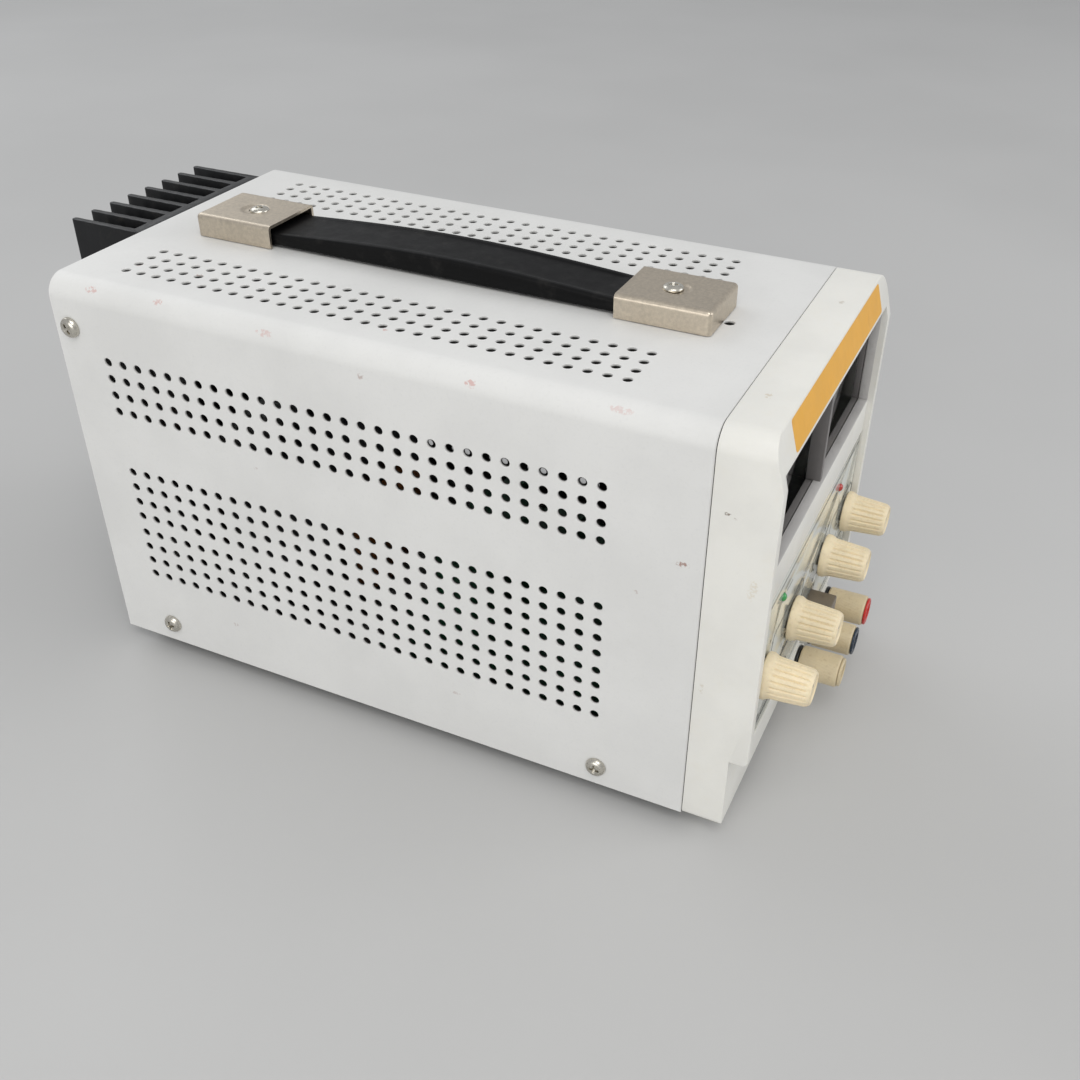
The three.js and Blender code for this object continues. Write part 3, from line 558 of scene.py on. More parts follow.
def line_mesh(name, points, width, y0, y1, closed=False):
    """A printed line on a face that looks along -Y, from depth y0 (front) to y1."""
    left, right = ribbon(points, width, closed)
    n = len(points)
    verts = []
    for y in (y0, y1):
        verts += [(p.x, y, p.y) for p in left] + [(p.x, y, p.y) for p in right]
    faces = []
    for i in range(n if closed else n - 1):
        j = (i + 1) % n
        L0, L1, R0, R1 = i, j, n + i, n + j
        faces.append((L0, L1, R1, R0))
        faces.append((2 * n + R0, 2 * n + R1, 2 * n + L1, 2 * n + L0))
        faces.append((L0, 2 * n + L0, 2 * n + L1, L1))
        faces.append((R0, R1, 2 * n + R1, 2 * n + R0))
    if not closed:
        faces.append((0, n, 3 * n, 2 * n))
        faces.append((n - 1, 3 * n - 1, 4 * n - 1, 2 * n - 1))
    return mesh_of(name, verts, faces)


def rounded_block(name, lo, hi, r, open_faces=(), sharp_lo=(0, 0, 0), sharp_hi=(0, 0, 0), fine=6, cell=1.2, warp=None):
    """Surface of a box with rounded edges. open_faces: of "-x" "+x" "-y" "+y" "-z" "+z". sharp_*: 1 leaves that end of that axis unrounded."""
    inner_lo = [lo[i] + (0 if sharp_lo[i] else r) for i in range(3)]
    inner_hi = [hi[i] - (0 if sharp_hi[i] else r) for i in range(3)]

    def stops(i):
        s = [lo[i]]
        if not sharp_lo[i]:
            s += [lo[i] + r * (1 - math.cos(PI / 2 * k / fine)) for k in range(1, fine + 1)]
            s[1:] = [lo[i] + r * math.tan(PI / 4 * k / fine) for k in range(1, fine + 1)]
        m = max(1, int(round((inner_hi[i] - inner_lo[i]) / cell)))
        s += [inner_lo[i] + (inner_hi[i] - inner_lo[i]) * k / m for k in range(1, m + 1)]
        if not sharp_hi[i]:
            s += [hi[i] - r * math.tan(PI / 4 * k / fine) for k in range(fine - 1, -1, -1)]
        return sorted(set(round(v, 6) for v in s))

    S = [stops(i) for i in range(3)]
    verts, faces = [], []

    def put(q):
        c = [min(max(q[i], inner_lo[i]), inner_hi[i]) for i in range(3)]
        d = [q[i] - c[i] for i in range(3)]
        l = math.sqrt(sum(x * x for x in d))
        p = q if l < 1e-9 else [c[i] + d[i] / l * r for i in range(3)]
        return tuple(p)

    for axis in range(3):
        u, v = (axis + 1) % 3, (axis + 2) % 3
        for end, sign in ((lo[axis], "-"), (hi[axis], "+")):
            if sign + "xyz"[axis] in open_faces:
                continue
            base = len(verts)
            for a in S[u]:
                for b in S[v]:
                    q = [0, 0, 0]
                    q[axis], q[u], q[v] = end, a, b
                    verts.append(put(q))
            nv = len(S[v])
            for i in range(len(S[u]) - 1):
                for j in range(nv - 1):
                    f = (base + i * nv + j, base + (i + 1) * nv + j, base + (i + 1) * nv + j + 1, base + i * nv + j + 1)
                    faces.append(f if sign == "+" else tuple(reversed(f)))
    if warp:
        verts = [warp(*p) for p in verts]
    return mesh_of(name, verts, faces, recalc=not open_faces)


# ------------------------------------------------------------------ perforated cover
VENT_Y = [93.75 - 6.0 * i for i in range(30)]
VENT_SIDE = [120.7, 114.7, 108.7, 102.7, 79.2, 73.2, 67.2, 61.2, 54.3, 48.3, 42.3, 36.3]
VENT_TOP = [47.6, 41.6, 35.6, 29.6]
SIDE_SCREWS = []
for which in ("upper_rear", "lower_rear", "lower_front"):
    a, b = nbox("cover_screw_left_" + which)
    SIDE_SCREWS.append(((a[1] + b[1]) / 2, (a[2] + b[2]) / 2))
HANDLE_Y = []
for which in ("front", "rear"):
    a, b = nbox("handle_screw_" + which)
    HANDLE_Y.append((a[1] + b[1]) / 2)


def cover_mesh():
    side = TOP - FOLD - SKIRT
    arc = FOLD * PI / 2
    top = 2 * (HALF - FOLD)
    total = 2 * side + 2 * arc + top

    def place(s, y, d):
        if s <= side:
            return (-HALF + d, y, SKIRT + s)
        s -= side
        if s <= arc:
            a = PI - s / FOLD
            return (-HALF + FOLD + (FOLD - d) * math.cos(a), y, TOP - FOLD + (FOLD - d) * math.sin(a))
        s -= arc
        if s <= top:
            return (-HALF + FOLD + s, y, TOP - d)
        s -= top
        if s <= arc:
            a = PI / 2 - s / FOLD
            return (HALF - FOLD + (FOLD - d) * math.cos(a), y, TOP - FOLD + (FOLD - d) * math.sin(a))
        s -= arc
        return (HALF - d, y, TOP - FOLD - s)

    RND, LIP = 0.3, 0.16
    holes = []
    for y in VENT_Y:
        for z in VENT_SIDE:
            holes.append((z - SKIRT, y, 1.5, 14))
            holes.append((total - (z - SKIRT), y, 1.5, 14))
        for x in VENT_TOP:
            for sx in (-x, x):
                holes.append((side + arc + sx + HALF - FOLD, y, 1.5, 14))
    for y, z in SIDE_SCREWS:
        holes.append((z - SKIRT, y, 1.8, 16))
        holes.append((total - (z - SKIRT), y, 1.8, 16))
    mid = side + arc + HALF - FOLD
    for y in HANDLE_Y:
        holes.append((mid, y, 2.3, 16))
    holes.append((mid, -93.6, 1.7, 18))

    pts, edges = [], []
    s0, s1, y0, y1 = RND, total - RND, CY0 + RND, CY1 - RND
    corner = [(s0, y0), (s1, y0), (s1, y1), (s0, y1)]
    pts += corner
    edges += [(0, 1), (1, 2), (2, 3), (3, 0)]
    for start in (side, side + arc + top):
        for k in range(13):
            s = start + arc * k / 12
            i = len(pts)
            pts += [(s, y0), (s, y1)]
            edges.append((i, i + 1))
    for s in (side * 0.12, side * 0.5, side + arc + top * 0.5, total - side * 0.5, total - side * 0.12):
        pass
    owner = {}
    for h, (s, y, r, n) in enumerate(holes):
        base = len(pts)
        for j in range(n):
            a = 2 * PI * (j + 0.5) / n
            owner[base + j] = (h, j)
            pts.append((s + (r + LIP) * math.cos(a), y + (r + LIP) * math.sin(a)))
        edges += [(base + j, base + (j + 1) % n) for j in range(n)]
    res = delaunay_2d_cdt([Vector(p) for p in pts], edges, [], 0, 1e-7, True)
    out_v, out_f, orig = res[0], res[2], res[3]
    back = {}
    for i, src in enumerate(orig):
        for k in src:
            if k in owner:
                back[i] = owner[k]
    cell = {}
    for h, (s, y, r, n) in enumerate(holes):
        cell.setdefault((int(s // 8), int(y // 8)), []).append(h)
    keep = []
    for f in out_f:
        cs = sum(out_v[i].x for i in f) / 3
        cy = sum(out_v[i].y for i in f) / 3
        own = [back.get(i, (None,))[0] for i in f]
        if own[0] is not None and own[0] == own[1] == own[2]:
            continue
        keep.append(tuple(f))
    # outer surface, inner surface
    verts, faces = [], []
    on_edge = lambda p: (abs(p.x - s0) < 1e-4 or abs(p.x - s1) < 1e-4 or abs(p.y - y0) < 1e-4 or abs(p.y - y1) < 1e-4)

    def grown(p):
        s = 0.0 if abs(p.x - s0) < 1e-4 else total if abs(p.x - s1) < 1e-4 else p.x
        y = CY0 if abs(p.y - y0) < 1e-4 else CY1 if abs(p.y - y1) < 1e-4 else p.y
        return s, y

    nv = len(out_v)
    inner, ring = [0] * nv, {}
    for p in out_v:
        verts.append(place(p.x, p.y, 0.0))
    for i, p in enumerate(out_v):
        s, y = p.x, p.y
        if i in back:
            hs, hy, r, n = holes[back[i][0]]
            k = r / (r + LIP)
            s, y = hs + (s - hs) * k, hy + (y - hy) * k
        elif on_edge(p):
            s, y = grown(p)
        inner[i] = len(verts)
        verts.append(place(s, y, SHEET))
        if i in back:
            ring[i] = len(verts)
            verts.append(place(s, y, LIP))
        elif on_edge(p):
            ring[i] = len(verts)
            verts.append(place(s, y, RND))
    count = {}
    for f in keep:
        faces.append(f)
        faces.append(tuple(inner[i] for i in reversed(f)))
        for a, b in zip(f, f[1:] + f[:1]):
            count[(a, b)] = count.get((a, b), 0) + 1
    for (a, b) in count:
        if (b, a) not in count:
            faces.append((b, a, ring[a], ring[b]))
            faces.append((ring[b], ring[a], inner[a], inner[b]))
    me = bpy.data.meshes.new("cover")
    me.from_pydata([(x * M, y * M, z * M) for x, y, z in verts], [], faces)
    bm = bmesh.new()
    bm.from_mesh(me)
    bmesh.ops.recalc_face_normals(bm, faces=bm.faces)
    bm.to_mesh(me)
    bm.free()
    return me


piece("cover_perforated", cover_mesh(), "cover", replaces=("case_cover",), deg=38)

# ------------------------------------------------------------------ bezel
bez = refined("front_bezel", 0.55, 3, 24, cuts=((0, 1.0), (0, -33.0), (0, 35.0), (2, 117.3), (2, 62.0), (2, 21.0)))
piece("bezel_moulding", bez, "bezel", replaces=("front_bezel",), deg=42)
fa, fb = nbox("window_frame")
FY0, FY1, WX, BAR = -125.2, fb[1], 59.5, 1.2
WZ0, WZ1 = fa[2] + 2.6, fb[2] - 2.6
bars = [boxm("bar", fa[0], fb[0], FY0, FY1, fa[2], WZ0 + 0.2, 0.2), boxm("bar", fa[0], fb[0], FY0, FY1, WZ1 - 0.2, fb[2], 0.2),
        boxm("bar", fa[0], -WX, FY0, FY1, WZ0 + 0.2, WZ1 - 0.2, 0.15), boxm("bar", WX, fb[0], FY0, FY1, WZ0 + 0.2, WZ1 - 0.2, 0.15),
        boxm("bar", -BAR, BAR, max(fa[1], -127.85), FY1, WZ0 + 0.3, WZ1 - 0.3, 0.3, 3)]
piece("window_frame_bars", join(*bars), "frame", "case", ("window_frame",), 40)
NODES["volt_pane"].data.materials.clear()
for n in ("volt_pane", "amp_pane"):
    refine(n, "pane", 0.3, 2)
for n in ("volt_readout", "amp_readout"):
    refine(n, "readout", 0.3, 2)
WX = 59.65
LY0, LY1 = -128.6, -125.55
# painted shade: grey linings over the front part of the white bezel's window walls stand in for the shade in the
# recesses
for n, x0, x1, z0, z1 in (("sill", -WX, WX, WZ0 + 0.05, WZ0 + 0.5), ("head", -WX, WX, WZ1 - 0.5, WZ1 - 0.05),
                          ("left", -WX, -WX + 0.45, WZ0 + 0.5, WZ1 - 0.5), ("right", WX - 0.45, WX, WZ0 + 0.5, WZ1 - 0.5)):
    piece("window_lining_" + n, boxm("wall_painted_shade", x0, x1, LY0, LY1, z0, z1, 0.12, 2), "wall_painted_shade", "case", (), 40)

# unlit seven-segment digits on each readout
SEG = {
    "a": ((-0.5, 1.0), (0.5, 1.0)), "b": ((0.5, 1.0), (0.5, 0.0)), "c": ((0.5, 0.0), (0.5, -1.0)), "d": ((-0.5, -1.0), (0.5, -1.0)),
    "e": ((-0.5, 0.0), (-0.5, -1.0)), "f": ((-0.5, 1.0), (-0.5, 0.0)), "g": ((-0.5, 0.0), (0.5, 0.0)),
}


def digits(name, node):
    a, b = nbox(node)
    front, cx = a[1], (a[0] + b[0]) / 2
    z0 = 116.75
    parts = []
    for k in range(3):
        dx = cx - 12.5 + 12.5 * k
        for (p, q) in SEG.values():
            P = Vector((dx + p[0] * 7.2 + p[1] * 0.9, z0 + p[1] * 6.2))
            Q = Vector((dx + q[0] * 7.2 + q[1] * 0.9, z0 + q[1] * 6.2))
            d = (Q - P).normalized()
            nn = Vector((-d.y, d.x))
            P2, Q2, w = P + d * 0.35, Q - d * 0.35, 0.72
            hexa = [P2, P2 + d * w + nn * w, Q2 - d * w + nn * w, Q2, Q2 - d * w - nn * w, P2 + d * w - nn * w]
            parts.append(prism("seg", [(v.x, v.y) for v in hexa], "y", front - 0.14, front + 0.05))
        dot = [(dx + 5.4 + 0.75 * math.cos(t * PI / 6), z0 - 6.4 + 0.75 * math.sin(t * PI / 6)) for t in range(12)]
        parts.append(prism("dot", dot, "y", front - 0.14, front + 0.05))
    return piece(name, join(*parts), "segment", deg=30)


digits("volt_digits", "volt_readout")
digits("amp_digits", "amp_readout")

# yellow strip on the sloped face above the windows
SLOPE = [Vector((-129.45, 136.0)), Vector((-126.6, 146.1))]
sd = (SLOPE[1] - SLOPE[0]).normalized()
sn = Vector((-sd.y, sd.x))  # away from the case


def on_slope(x, t, out):
    """t along the slope from its lower end, in mm; out from the surface."""
    p = SLOPE[0] + sd * t + sn * out
    return (x, p.x, p.y)


def label_mesh(x0, x1, t0, t1, r, out, thick):
    pts = rounded_rect(x0, x1, t0, t1, r, 5)
    n = len(pts)
    verts = [on_slope(u, v, out + thick) for u, v in pts] + [on_slope(u, v, out) for u, v in pts]
    faces = [tuple(range(n)), tuple(range(2 * n - 1, n - 1, -1))]
    faces += [(i, (i + 1) % n, n + (i + 1) % n, n + i) for i in range(n)]
    return mesh_of("label", verts, faces)


piece("label_strip", label_mesh(-49.1, 52.2, 0.4, 10.1, 1.0, 0.02, 0.10), "label", deg=30)

# ------------------------------------------------------------------ control panel
refine("front_panel", "panel", 0.2, 2)
plo, phi = nbox("front_panel")
PF = plo[1]
INK = (PF - 0.05, PF + 0.03)
lines = []
KNOBS = ("voltage_fine", "voltage_coarse", "current_coarse", "current_fine")
KC = {}
for n in KNOBS:
    a, b = nbox(n + "_knob")
    KC[n] = ((a[0] + b[0]) / 2, (a[2] + b[2]) / 2, a[1], b[1])
kz = KC["voltage_fine"][1]
# rounded outlines and the scale marks round each knob
for x0, x1 in ((-41.3, -6.2), (27.6, 58.6)):
    lines.append(line_mesh("outline", rounded_rect(x0, x1, kz - 10.4, kz + 8.2, 3.6, 6), 0.42, *INK, closed=True))
for n in KNOBS:
    cx, cz = KC[n][0], KC[n][1]
    steps = 11
    for i in range(steps):
        a = math.radians(-60 + 300 * i / (steps - 1))
        r0, r1 = 9.5, 10.7 if i % 5 else 11.2
        c, s = math.cos(a), math.sin(a)
        if abs(cz + r1 * s - (kz + 8.2)) < 0.2:
            continue
        lines.append(line_mesh("tick", [(cx + r0 * c, cz + r0 * s), (cx + r1 * c, cz + r1 * s)], 0.32, *INK))
# rules above and below, and small plain marks
lines.append(line_mesh("rule", [(-57.5, 84.6), (57.5, 84.6)], 0.35, *INK))
lines.append(line_mesh("mark", [(6.0, 61.6), (6.0, 64.9)], 1.0, *INK))
lines.append(line_mesh("mark", [(-30.5, 78.6), (-24.5, 78.6)], 0.32, *INK))
lines.append(line_mesh("mark", [(24.5, 78.6), (30.5, 78.6)], 0.32, *INK))
lines.append(line_mesh("frame", rounded_rect(1.0, 13.0, 40.5, 52.5, 1.2, 4), 0.3, *INK, closed=True))
for x0, x1 in ((-57.0, -24.0), (20.0, 57.0)):
    lines.append(line_mesh("rule", [(x0, 39.6), (x1, 39.6)], 0.35, *INK))
for x in (-49.6, -34.0, -19.1):
    lines.append(line_mesh("mark", [(x - 2.0, 42.2), (x + 2.0, 42.2)], 0.6, *INK))
piece("panel_lines", join(*lines), "ink", deg=30)

# printed marks round the output posts: a link line, minus and plus signs, an earth sign and rules, on the set-back
# lower band
clo = -124.95
chin = []
post = {}
for n in ("ground", "negative", "positive"):
    a, b = nbox(n + "_post_cap")
    post[n] = ((a[0] + b[0]) / 2, (a[2] + b[2]) / 2, a[1], b[1])
pz = post["ground"][1]
CI = (clo - 0.05, clo + 0.03)
chin.append(line_mesh("link", [(post["ground"][0] + 7.4, pz), (post["negative"][0] - 7.4, pz)], 0.5, *CI))
chin.append(line_mesh("over", [(post["negative"][0] - 2.2, pz + 9.4), (post["negative"][0] + 2.2, pz + 9.4)], 0.7, *CI))
chin.append(line_mesh("plus_a", [(post["positive"][0] - 2.2, pz + 9.4), (post["positive"][0] + 2.2, pz + 9.4)], 0.7, *CI))
chin.append(line_mesh("plus_b", [(post["positive"][0], pz + 7.2), (post["positive"][0], pz + 11.6)], 0.7, *CI))
gx = post["ground"][0]
for i, w in enumerate((2.4, 1.5, 0.7)):
    chin.append(line_mesh("earth", [(gx - w, pz + 9.6 - i * 0.95), (gx + w, pz + 9.6 - i * 0.95)], 0.4, *CI))
chin.append(line_mesh("earth_stem", [(gx, pz + 9.6), (gx, pz + 11.6)], 0.4, *CI))
for x0, x1, z in ((-56.0, -44.0, 30.4), (-40.0, -30.0, 30.4), (-56.0, -34.0, 27.4)):
    chin.append(line_mesh("rule", [(x0, z), (x1, z)], 0.45, *CI))
piece("chin_lines", join(*chin), "ink", deg=30)

NODES["cv_lamp"].data.materials.clear()
refine("cv_lamp", "green", 0.15, 2)
refine("cc_lamp", "lens_red", 0.15, 2)

# ------------------------------------------------------------------ knobs
def knob_mesh(n):
    x, z, tip, back = KC[n]
    ribs, per = 20, 8
    prof = [
        (3.15, back), (7.05, back, 0), (7.4, back - 0.35, 0), (7.4, back - 1.6, 0), (7.25, back - 1.95, 0), (6.9, back - 2.6, 0.0), (6.66, back - 3.2, 0.35),
        (6.58, back - 3.7, 1.0), (6.42, back - 6.2, 1.0), (6.24, back - 9.0, 1.0), (6.05, back - 11.6, 1.0), (5.92, tip + 1.75, 1.0), (5.84, tip + 1.35, 0.45),
        (5.6, tip + 0.75, 0.15), (5.2, tip + 0.22, 0.0), (4.9, tip, 0.0), (4.5, tip, 0.0), (4.25, tip + 0.3, 0.0), (4.1, tip + 0.42, 0.0),
        (1.2, tip + 0.42, 0.0), (0.0, tip + 0.42, 0.0),
    ]
    prof = [(p[0], p[1], p[2] if len(p) > 2 else 0.0) for p in prof]

    def rad(r, y, a, i):
        w = prof[i][2]
        if not w:
            return r
        t = (a * ribs / (2 * PI)) % 1.0
        groove = max(0.0, 1 - abs(t - 0.5) / 0.21)
        groove = groove * groove * (3 - 2 * groove)
        return r - 0.52 * w * groove

    full = [(0.0, back - 9.9), (3.15, back - 9.9)] + [(p[0], p[1]) for p in prof]
    prof = [(0, 0, 0), (0, 0, 0)] + prof
    me = turned("knob", full, x, z, ribs * per, rad)
    return me


for n in KNOBS:
    piece(n + "_knob_ribbed", knob_mesh(n), "knob", n, (n + "_knob",), 34)
    x, z, tip, back = KC[n]
    me = prism("pointer", [(x - 0.32, tip + 0.36), (x + 0.32, tip + 0.36), (x + 0.32, tip + 0.5), (x - 0.32, tip + 0.5)], "z", z + 0.6, z + 4.4)
    piece(n + "_pointer", me, "ink", n, (), 30)
    refine(n + "_shaft", "shaft", 0.2, 2, n)
    refine(n + "_pot", "steel", 0.25, 2, "case")

# ------------------------------------------------------------------ button
refine("power_button", "button", 0.45, 3, "power_push")
refine("power_switch_body", "black", 0.3, 2, "case")

# ------------------------------------------------------------------ binding posts
def cap_mesh(n):
    x, z, front, back = post[n]
    R, bore = 5.7, 3.1
    rows = [(bore, back), (5.0, back), (5.42, back - 0.25), (5.66, back - 0.7)]
    K0 = len(rows)
    for i in range(11):
        t = i / 10
        rows.append((R - 0.02, back - 0.9 - (back - front - 1.9) * t))
    K1 = len(rows)
    rows += [(5.63, front + 0.55), (5.45, front + 0.2), (5.15, front), (bore, front)]

    def rad(r, y, a, i):
        if K0 <= i < K1:
            edge = min(1.0, (i - K0 + 0.4) / 1.4, (K1 - 1 - i + 0.4) / 1.4)
            return r - 0.11 * edge * (0.5 + 0.5 * math.cos(36 * a + (y - back) * 1.15))
        return r

    return turned("cap", rows, x, z, 240, rad)


for n, ring_mat, ring_slot in (("ground", "plain", "plain_disc"), ("negative", "navy", "navy_disc"), ("positive", "red", "red_disc")):
    x, z, front, back = post[n]
    piece(n + "_cap_knurled", cap_mesh(n), "cap", n + "_cap", (n + "_post_cap",), 40)
    a, b = nbox(n + "_post_ring")
    y0, y1 = a[1], b[1]
    prof = [(3.1, y1), (4.9, y1), (5.08, y1 - 0.15), (5.08, y0 + 0.3), (4.88, y0 + 0.05), (4.68, y0), (4.3, y0), (4.18, y0 + 0.16), (3.85, y0 + 0.16), (3.72, y0),
            (3.4, y0), (3.1, y0 + 0.25)]
    piece(n + "_ring_turned", turned("ring", prof, x, z, 64), ring_mat, n + "_end", (n + "_post_ring",), 34)
    refine(n + "_post_stud", "brass", 0.15, 2, "case")
    refine(n + "_post_collar", "collar", 0.2, 2, "case")

# ------------------------------------------------------------------ carrying handle
def handle_end(name, node, open_side):
    a, b = nbox(node)
    T = 1.0
    mid = (a[1] + b[1]) / 2
    oy = "+y" if open_side > 0 else "-y"
    sl, sh = [0, 0, 1], [0, 0, 0]
    if open_side > 0:
        sh[1] = 1
    else:
        sl[1] = 1
    top = b[2]

    def warp(x, y, z):
        # shallow dimple round the screw, slight crown of a pressed sheet
        r = math.hypot(x, y - mid)
        if z > top - 0.7:
            t = max(0.0, min(1.0, (4.7 - r) / 1.2))
            t = t * t * (3 - 2 * t)
            z -= 0.5 * t
            edge = min(x - a[0], b[0] - x, y - a[1] if open_side > 0 else b[1] - y)
            u = max(0.0, min(1.0, (edge - 1.2) / 6.0))
            z -= 0.06 * u
        return (x, y, z)

    me = rounded_block(name, a, b, 1.45, open_faces=("-z", oy), sharp_lo=sl, sharp_hi=sh, fine=6, cell=0.55, warp=warp)
    bm = bmesh.new()
    bm.from_mesh(me)
    bmesh.ops.recalc_face_normals(bm, faces=bm.faces)
    # outward is up at the top
    ref = max(bm.faces, key=lambda f: f.calc_center_median().z)
    if ref.normal.z < 0:
        bmesh.ops.reverse_faces(bm, faces=bm.faces)
    # hole for the screw
    dead = [f for f in bm.faces if f.normal.z > 0.5 and math.hypot(f.calc_center_median().x, f.calc_center_median().y - mid * M) < 2.0 * M]
    bmesh.ops.delete(bm, geom=dead, context="FACES")
    bm.to_mesh(me)
    bm.free()
    me = applied(me, ("SOLIDIFY", dict(thickness=T * M, offset=-1.0, use_even_offset=True, use_rim=True)))
    return me


piece("handle_end_front_folded", handle_end("hf", "handle_end_front", 1), "nickel", "case", ("handle_end_front",), 38)
piece("handle_end_rear_folded", handle_end("hr", "handle_end_rear", -1), "nickel", "case", ("handle_end_rear",), 38)


def strap_mesh():
    a, b = nbox("handle_strap")
    W = b[0]
    y_lo, y_hi, bottom, mid_top, end_top = a[1], b[1], a[2], b[2], 151.4
    ya, yb = nbox("handle_end_front")[1][1] + 1.5, nbox("handle_end_rear")[0][1] - 1.5
    ys = [y_lo, y_lo + 0.5] + [y_lo + 0.5 + (ya - y_lo - 0.5) * k / 6 for k in range(1, 7)]
    ys += [ya + (yb - ya) * k / 64 for k in range(1, 65)]
    ys += [yb + (y_hi - 0.5 - yb) * k / 6 for k in range(1, 7)] + [y_hi]
    # cross-section: (x share, height share, kind)
    verts, rows = [], []
    for y in ys:
        if ya < y < yb:
            t = (y - ya) / (yb - ya)
            lift = (mid_top - end_top) * math.sin(PI * t)
            tr = min(1.0, (y - ya) / 5.0, (yb - y) / 5.0)
            tr = tr * tr * (3 - 2 * tr)
        else:
            lift, tr = 0.0, 0.0
        top = end_top + lift
        under = 1.1 * math.sin(PI * (y - ya) / (yb - ya)) if ya < y < yb else 0.0
        base = bottom + 0.0 * under
        shrink = 0.35 if (y == y_lo or y == y_hi) else 0.0
        w = W - shrink
        sec = []
        R = 1.0
        for cx, cz, a0, rr in ((w - R, top - R, 0, R),):
            pass
        # bottom right round the section, anticlockwise seen from the front
        for i in range(5):
            t = math.radians(-90 + 90 * i / 4)
            sec.append((w - 0.8 + 0.8 * math.cos(t), base + 0.8 + 0.8 * math.sin(t)))
        # side waist: a slight groove below the raised ridge
        sec.append((w - 0.02, base + 1.7))
        sec.append((w - 0.18 * tr, top - 1.55))
        for i in range(6):
            t = math.radians(-20 + 110 * i / 5)
            sec.append((w - R + R * math.cos(t), top - R + R * math.sin(t)))
        ridge = w - 2.0
        sec.append((ridge, top))
        for dx, dz in ((0.35, 0.10), (0.75, 0.34), (1.15, 0.43), (2.4, 0.45)):
            sec.append((ridge - dx, top - dz * tr))
        sec.append((ridge - 5.0, top - 0.42 * tr))
        half = sec
        full = half + [(-x, z) for x, z in reversed(half)]
        rows.append(len(full))
        verts += [(x, y, z) for x, z in full]
    n = rows[0]
    faces = []
    for i in range(len(ys) - 1):
        for j in range(n):
            k = (j + 1) % n
            faces.append((i * n + j, i * n + k, (i + 1) * n + k, (i + 1) * n + j))
    faces.append(tuple(range(n)))
    faces.append(tuple(range((len(ys) - 1) * n, len(ys) * n)))
    me = mesh_of("strap", verts, faces)
    cutters = []
    for y in HANDLE_Y:
        pts = []
        for k in range(12):
            t = PI * k / 11
            pts.append((2.6 * math.cos(t), y + 2.9 + 2.6 * math.sin(t)))
        for k in range(12):
            t = PI + PI * k / 11
            pts.append((2.6 * math.cos(t), y - 2.9 + 2.6 * math.sin(t)))
        cutters.append(prism("slot", pts, "z", 140, 160))
    return boolean(me, cutters)


piece("strap_moulded", strap_mesh(), "strap", "strap", ("handle_strap",), 40)


# ------------------------------------------------------------------ screws
def phillips(r, h, shank_r, shank_len, n=40, recess=True, under=0.0):
    """Pan head on +Z with its seat at z=0; shank downwards. In mm, as a mesh in metres."""
    prof = [(0, h), (r * 0.30, h * 0.985), (r * 0.55, h * 0.93), (r * 0.76, h * 0.80), (r * 0.90, h * 0.60), (r * 0.975, h * 0.36), (r, h * 0.16), (r * 0.985, 0.0),
            (shank_r, 0.0), (shank_r, -shank_len), (0, -shank_len)]
    verts, faces = [], []
    for rr, z in prof:
        for j in range(n):
            t = 2 * PI * j / n
            verts.append((rr * math.cos(t), rr * math.sin(t), z))
    for i in range(len(prof) - 1):
        for j in range(n):
            k = (j + 1) % n
            faces.append((i * n + j, (i + 1) * n + j, (i + 1) * n + k, i * n + k))
    me = mesh_of("screw", verts, faces)
    if recess:
        L, w, d = r * 0.56, r * 0.105, h * 0.62
        tools = []
        for rot in (0, 1):
            v = []
            for z, ll, ww in ((h + 0.3, L * 1.12, w * 1.25), (h - d, L * 0.42, w * 0.8)):
                for sx, sy in ((-1, -1), (1, -1), (1, 1), (-1, 1)):
                    p = (sx * ll, sy * ww, z)
                    v.append((p[1], p[0], p[2]) if rot else p)
            tools.append(mesh_of("x", v, [(0, 1, 2, 3), (7, 6, 5, 4), (0, 4, 5, 1), (1, 5, 6, 2), (2, 6, 7, 3), (3, 7, 4, 0)]))
        me = boolean(me, tools)
    return me


def placed(me, matrix):
    m = me.copy()
    m.transform(matrix)
    m.update()
    return m


side_head = phillips(3.5, 2.0, 1.5, 5.2)
for side, s in (("left", -1), ("right", 1)):
    for i, which in enumerate(("upper_rear", "lower_rear", "lower_front")):
        node = f"cover_screw_{side}_{which}"
        y, z = SIDE_SCREWS[i]
        rot = Matrix.Rotation(s * PI / 2, 4, "Y") @ Matrix.Rotation(0.5 + 1.3 * i + (0.8 if s > 0 else 0), 4, "Z")
        mat = Matrix.Translation(Vector((s * (HALF + 0.15), y, z)) * M) @ rot
        piece(node + "_head", placed(side_head, mat), "screw", "case", (node,), 34)
top_head = phillips(3.3, 1.35, 2.0, 12.0)
for i, which in enumerate(("front", "rear")):
    node = f"handle_screw_{which}"
    a, b = nbox(node)
    mat = Matrix.Translation(Vector((0, HANDLE_Y[i], 153.95)) * M) @ Matrix.Rotation(0.35 + i, 4, "Z")
    nut = prism("nut", [(4.0 * math.cos(PI / 3 * k), HANDLE_Y[i] + 4.0 * math.sin(PI / 3 * k)) for k in range(6)], "z", a[2] + 2.0, 144.9)
    piece(node + "_head", join(placed(top_head, mat), nut), "screw", "case", (node,), 34)

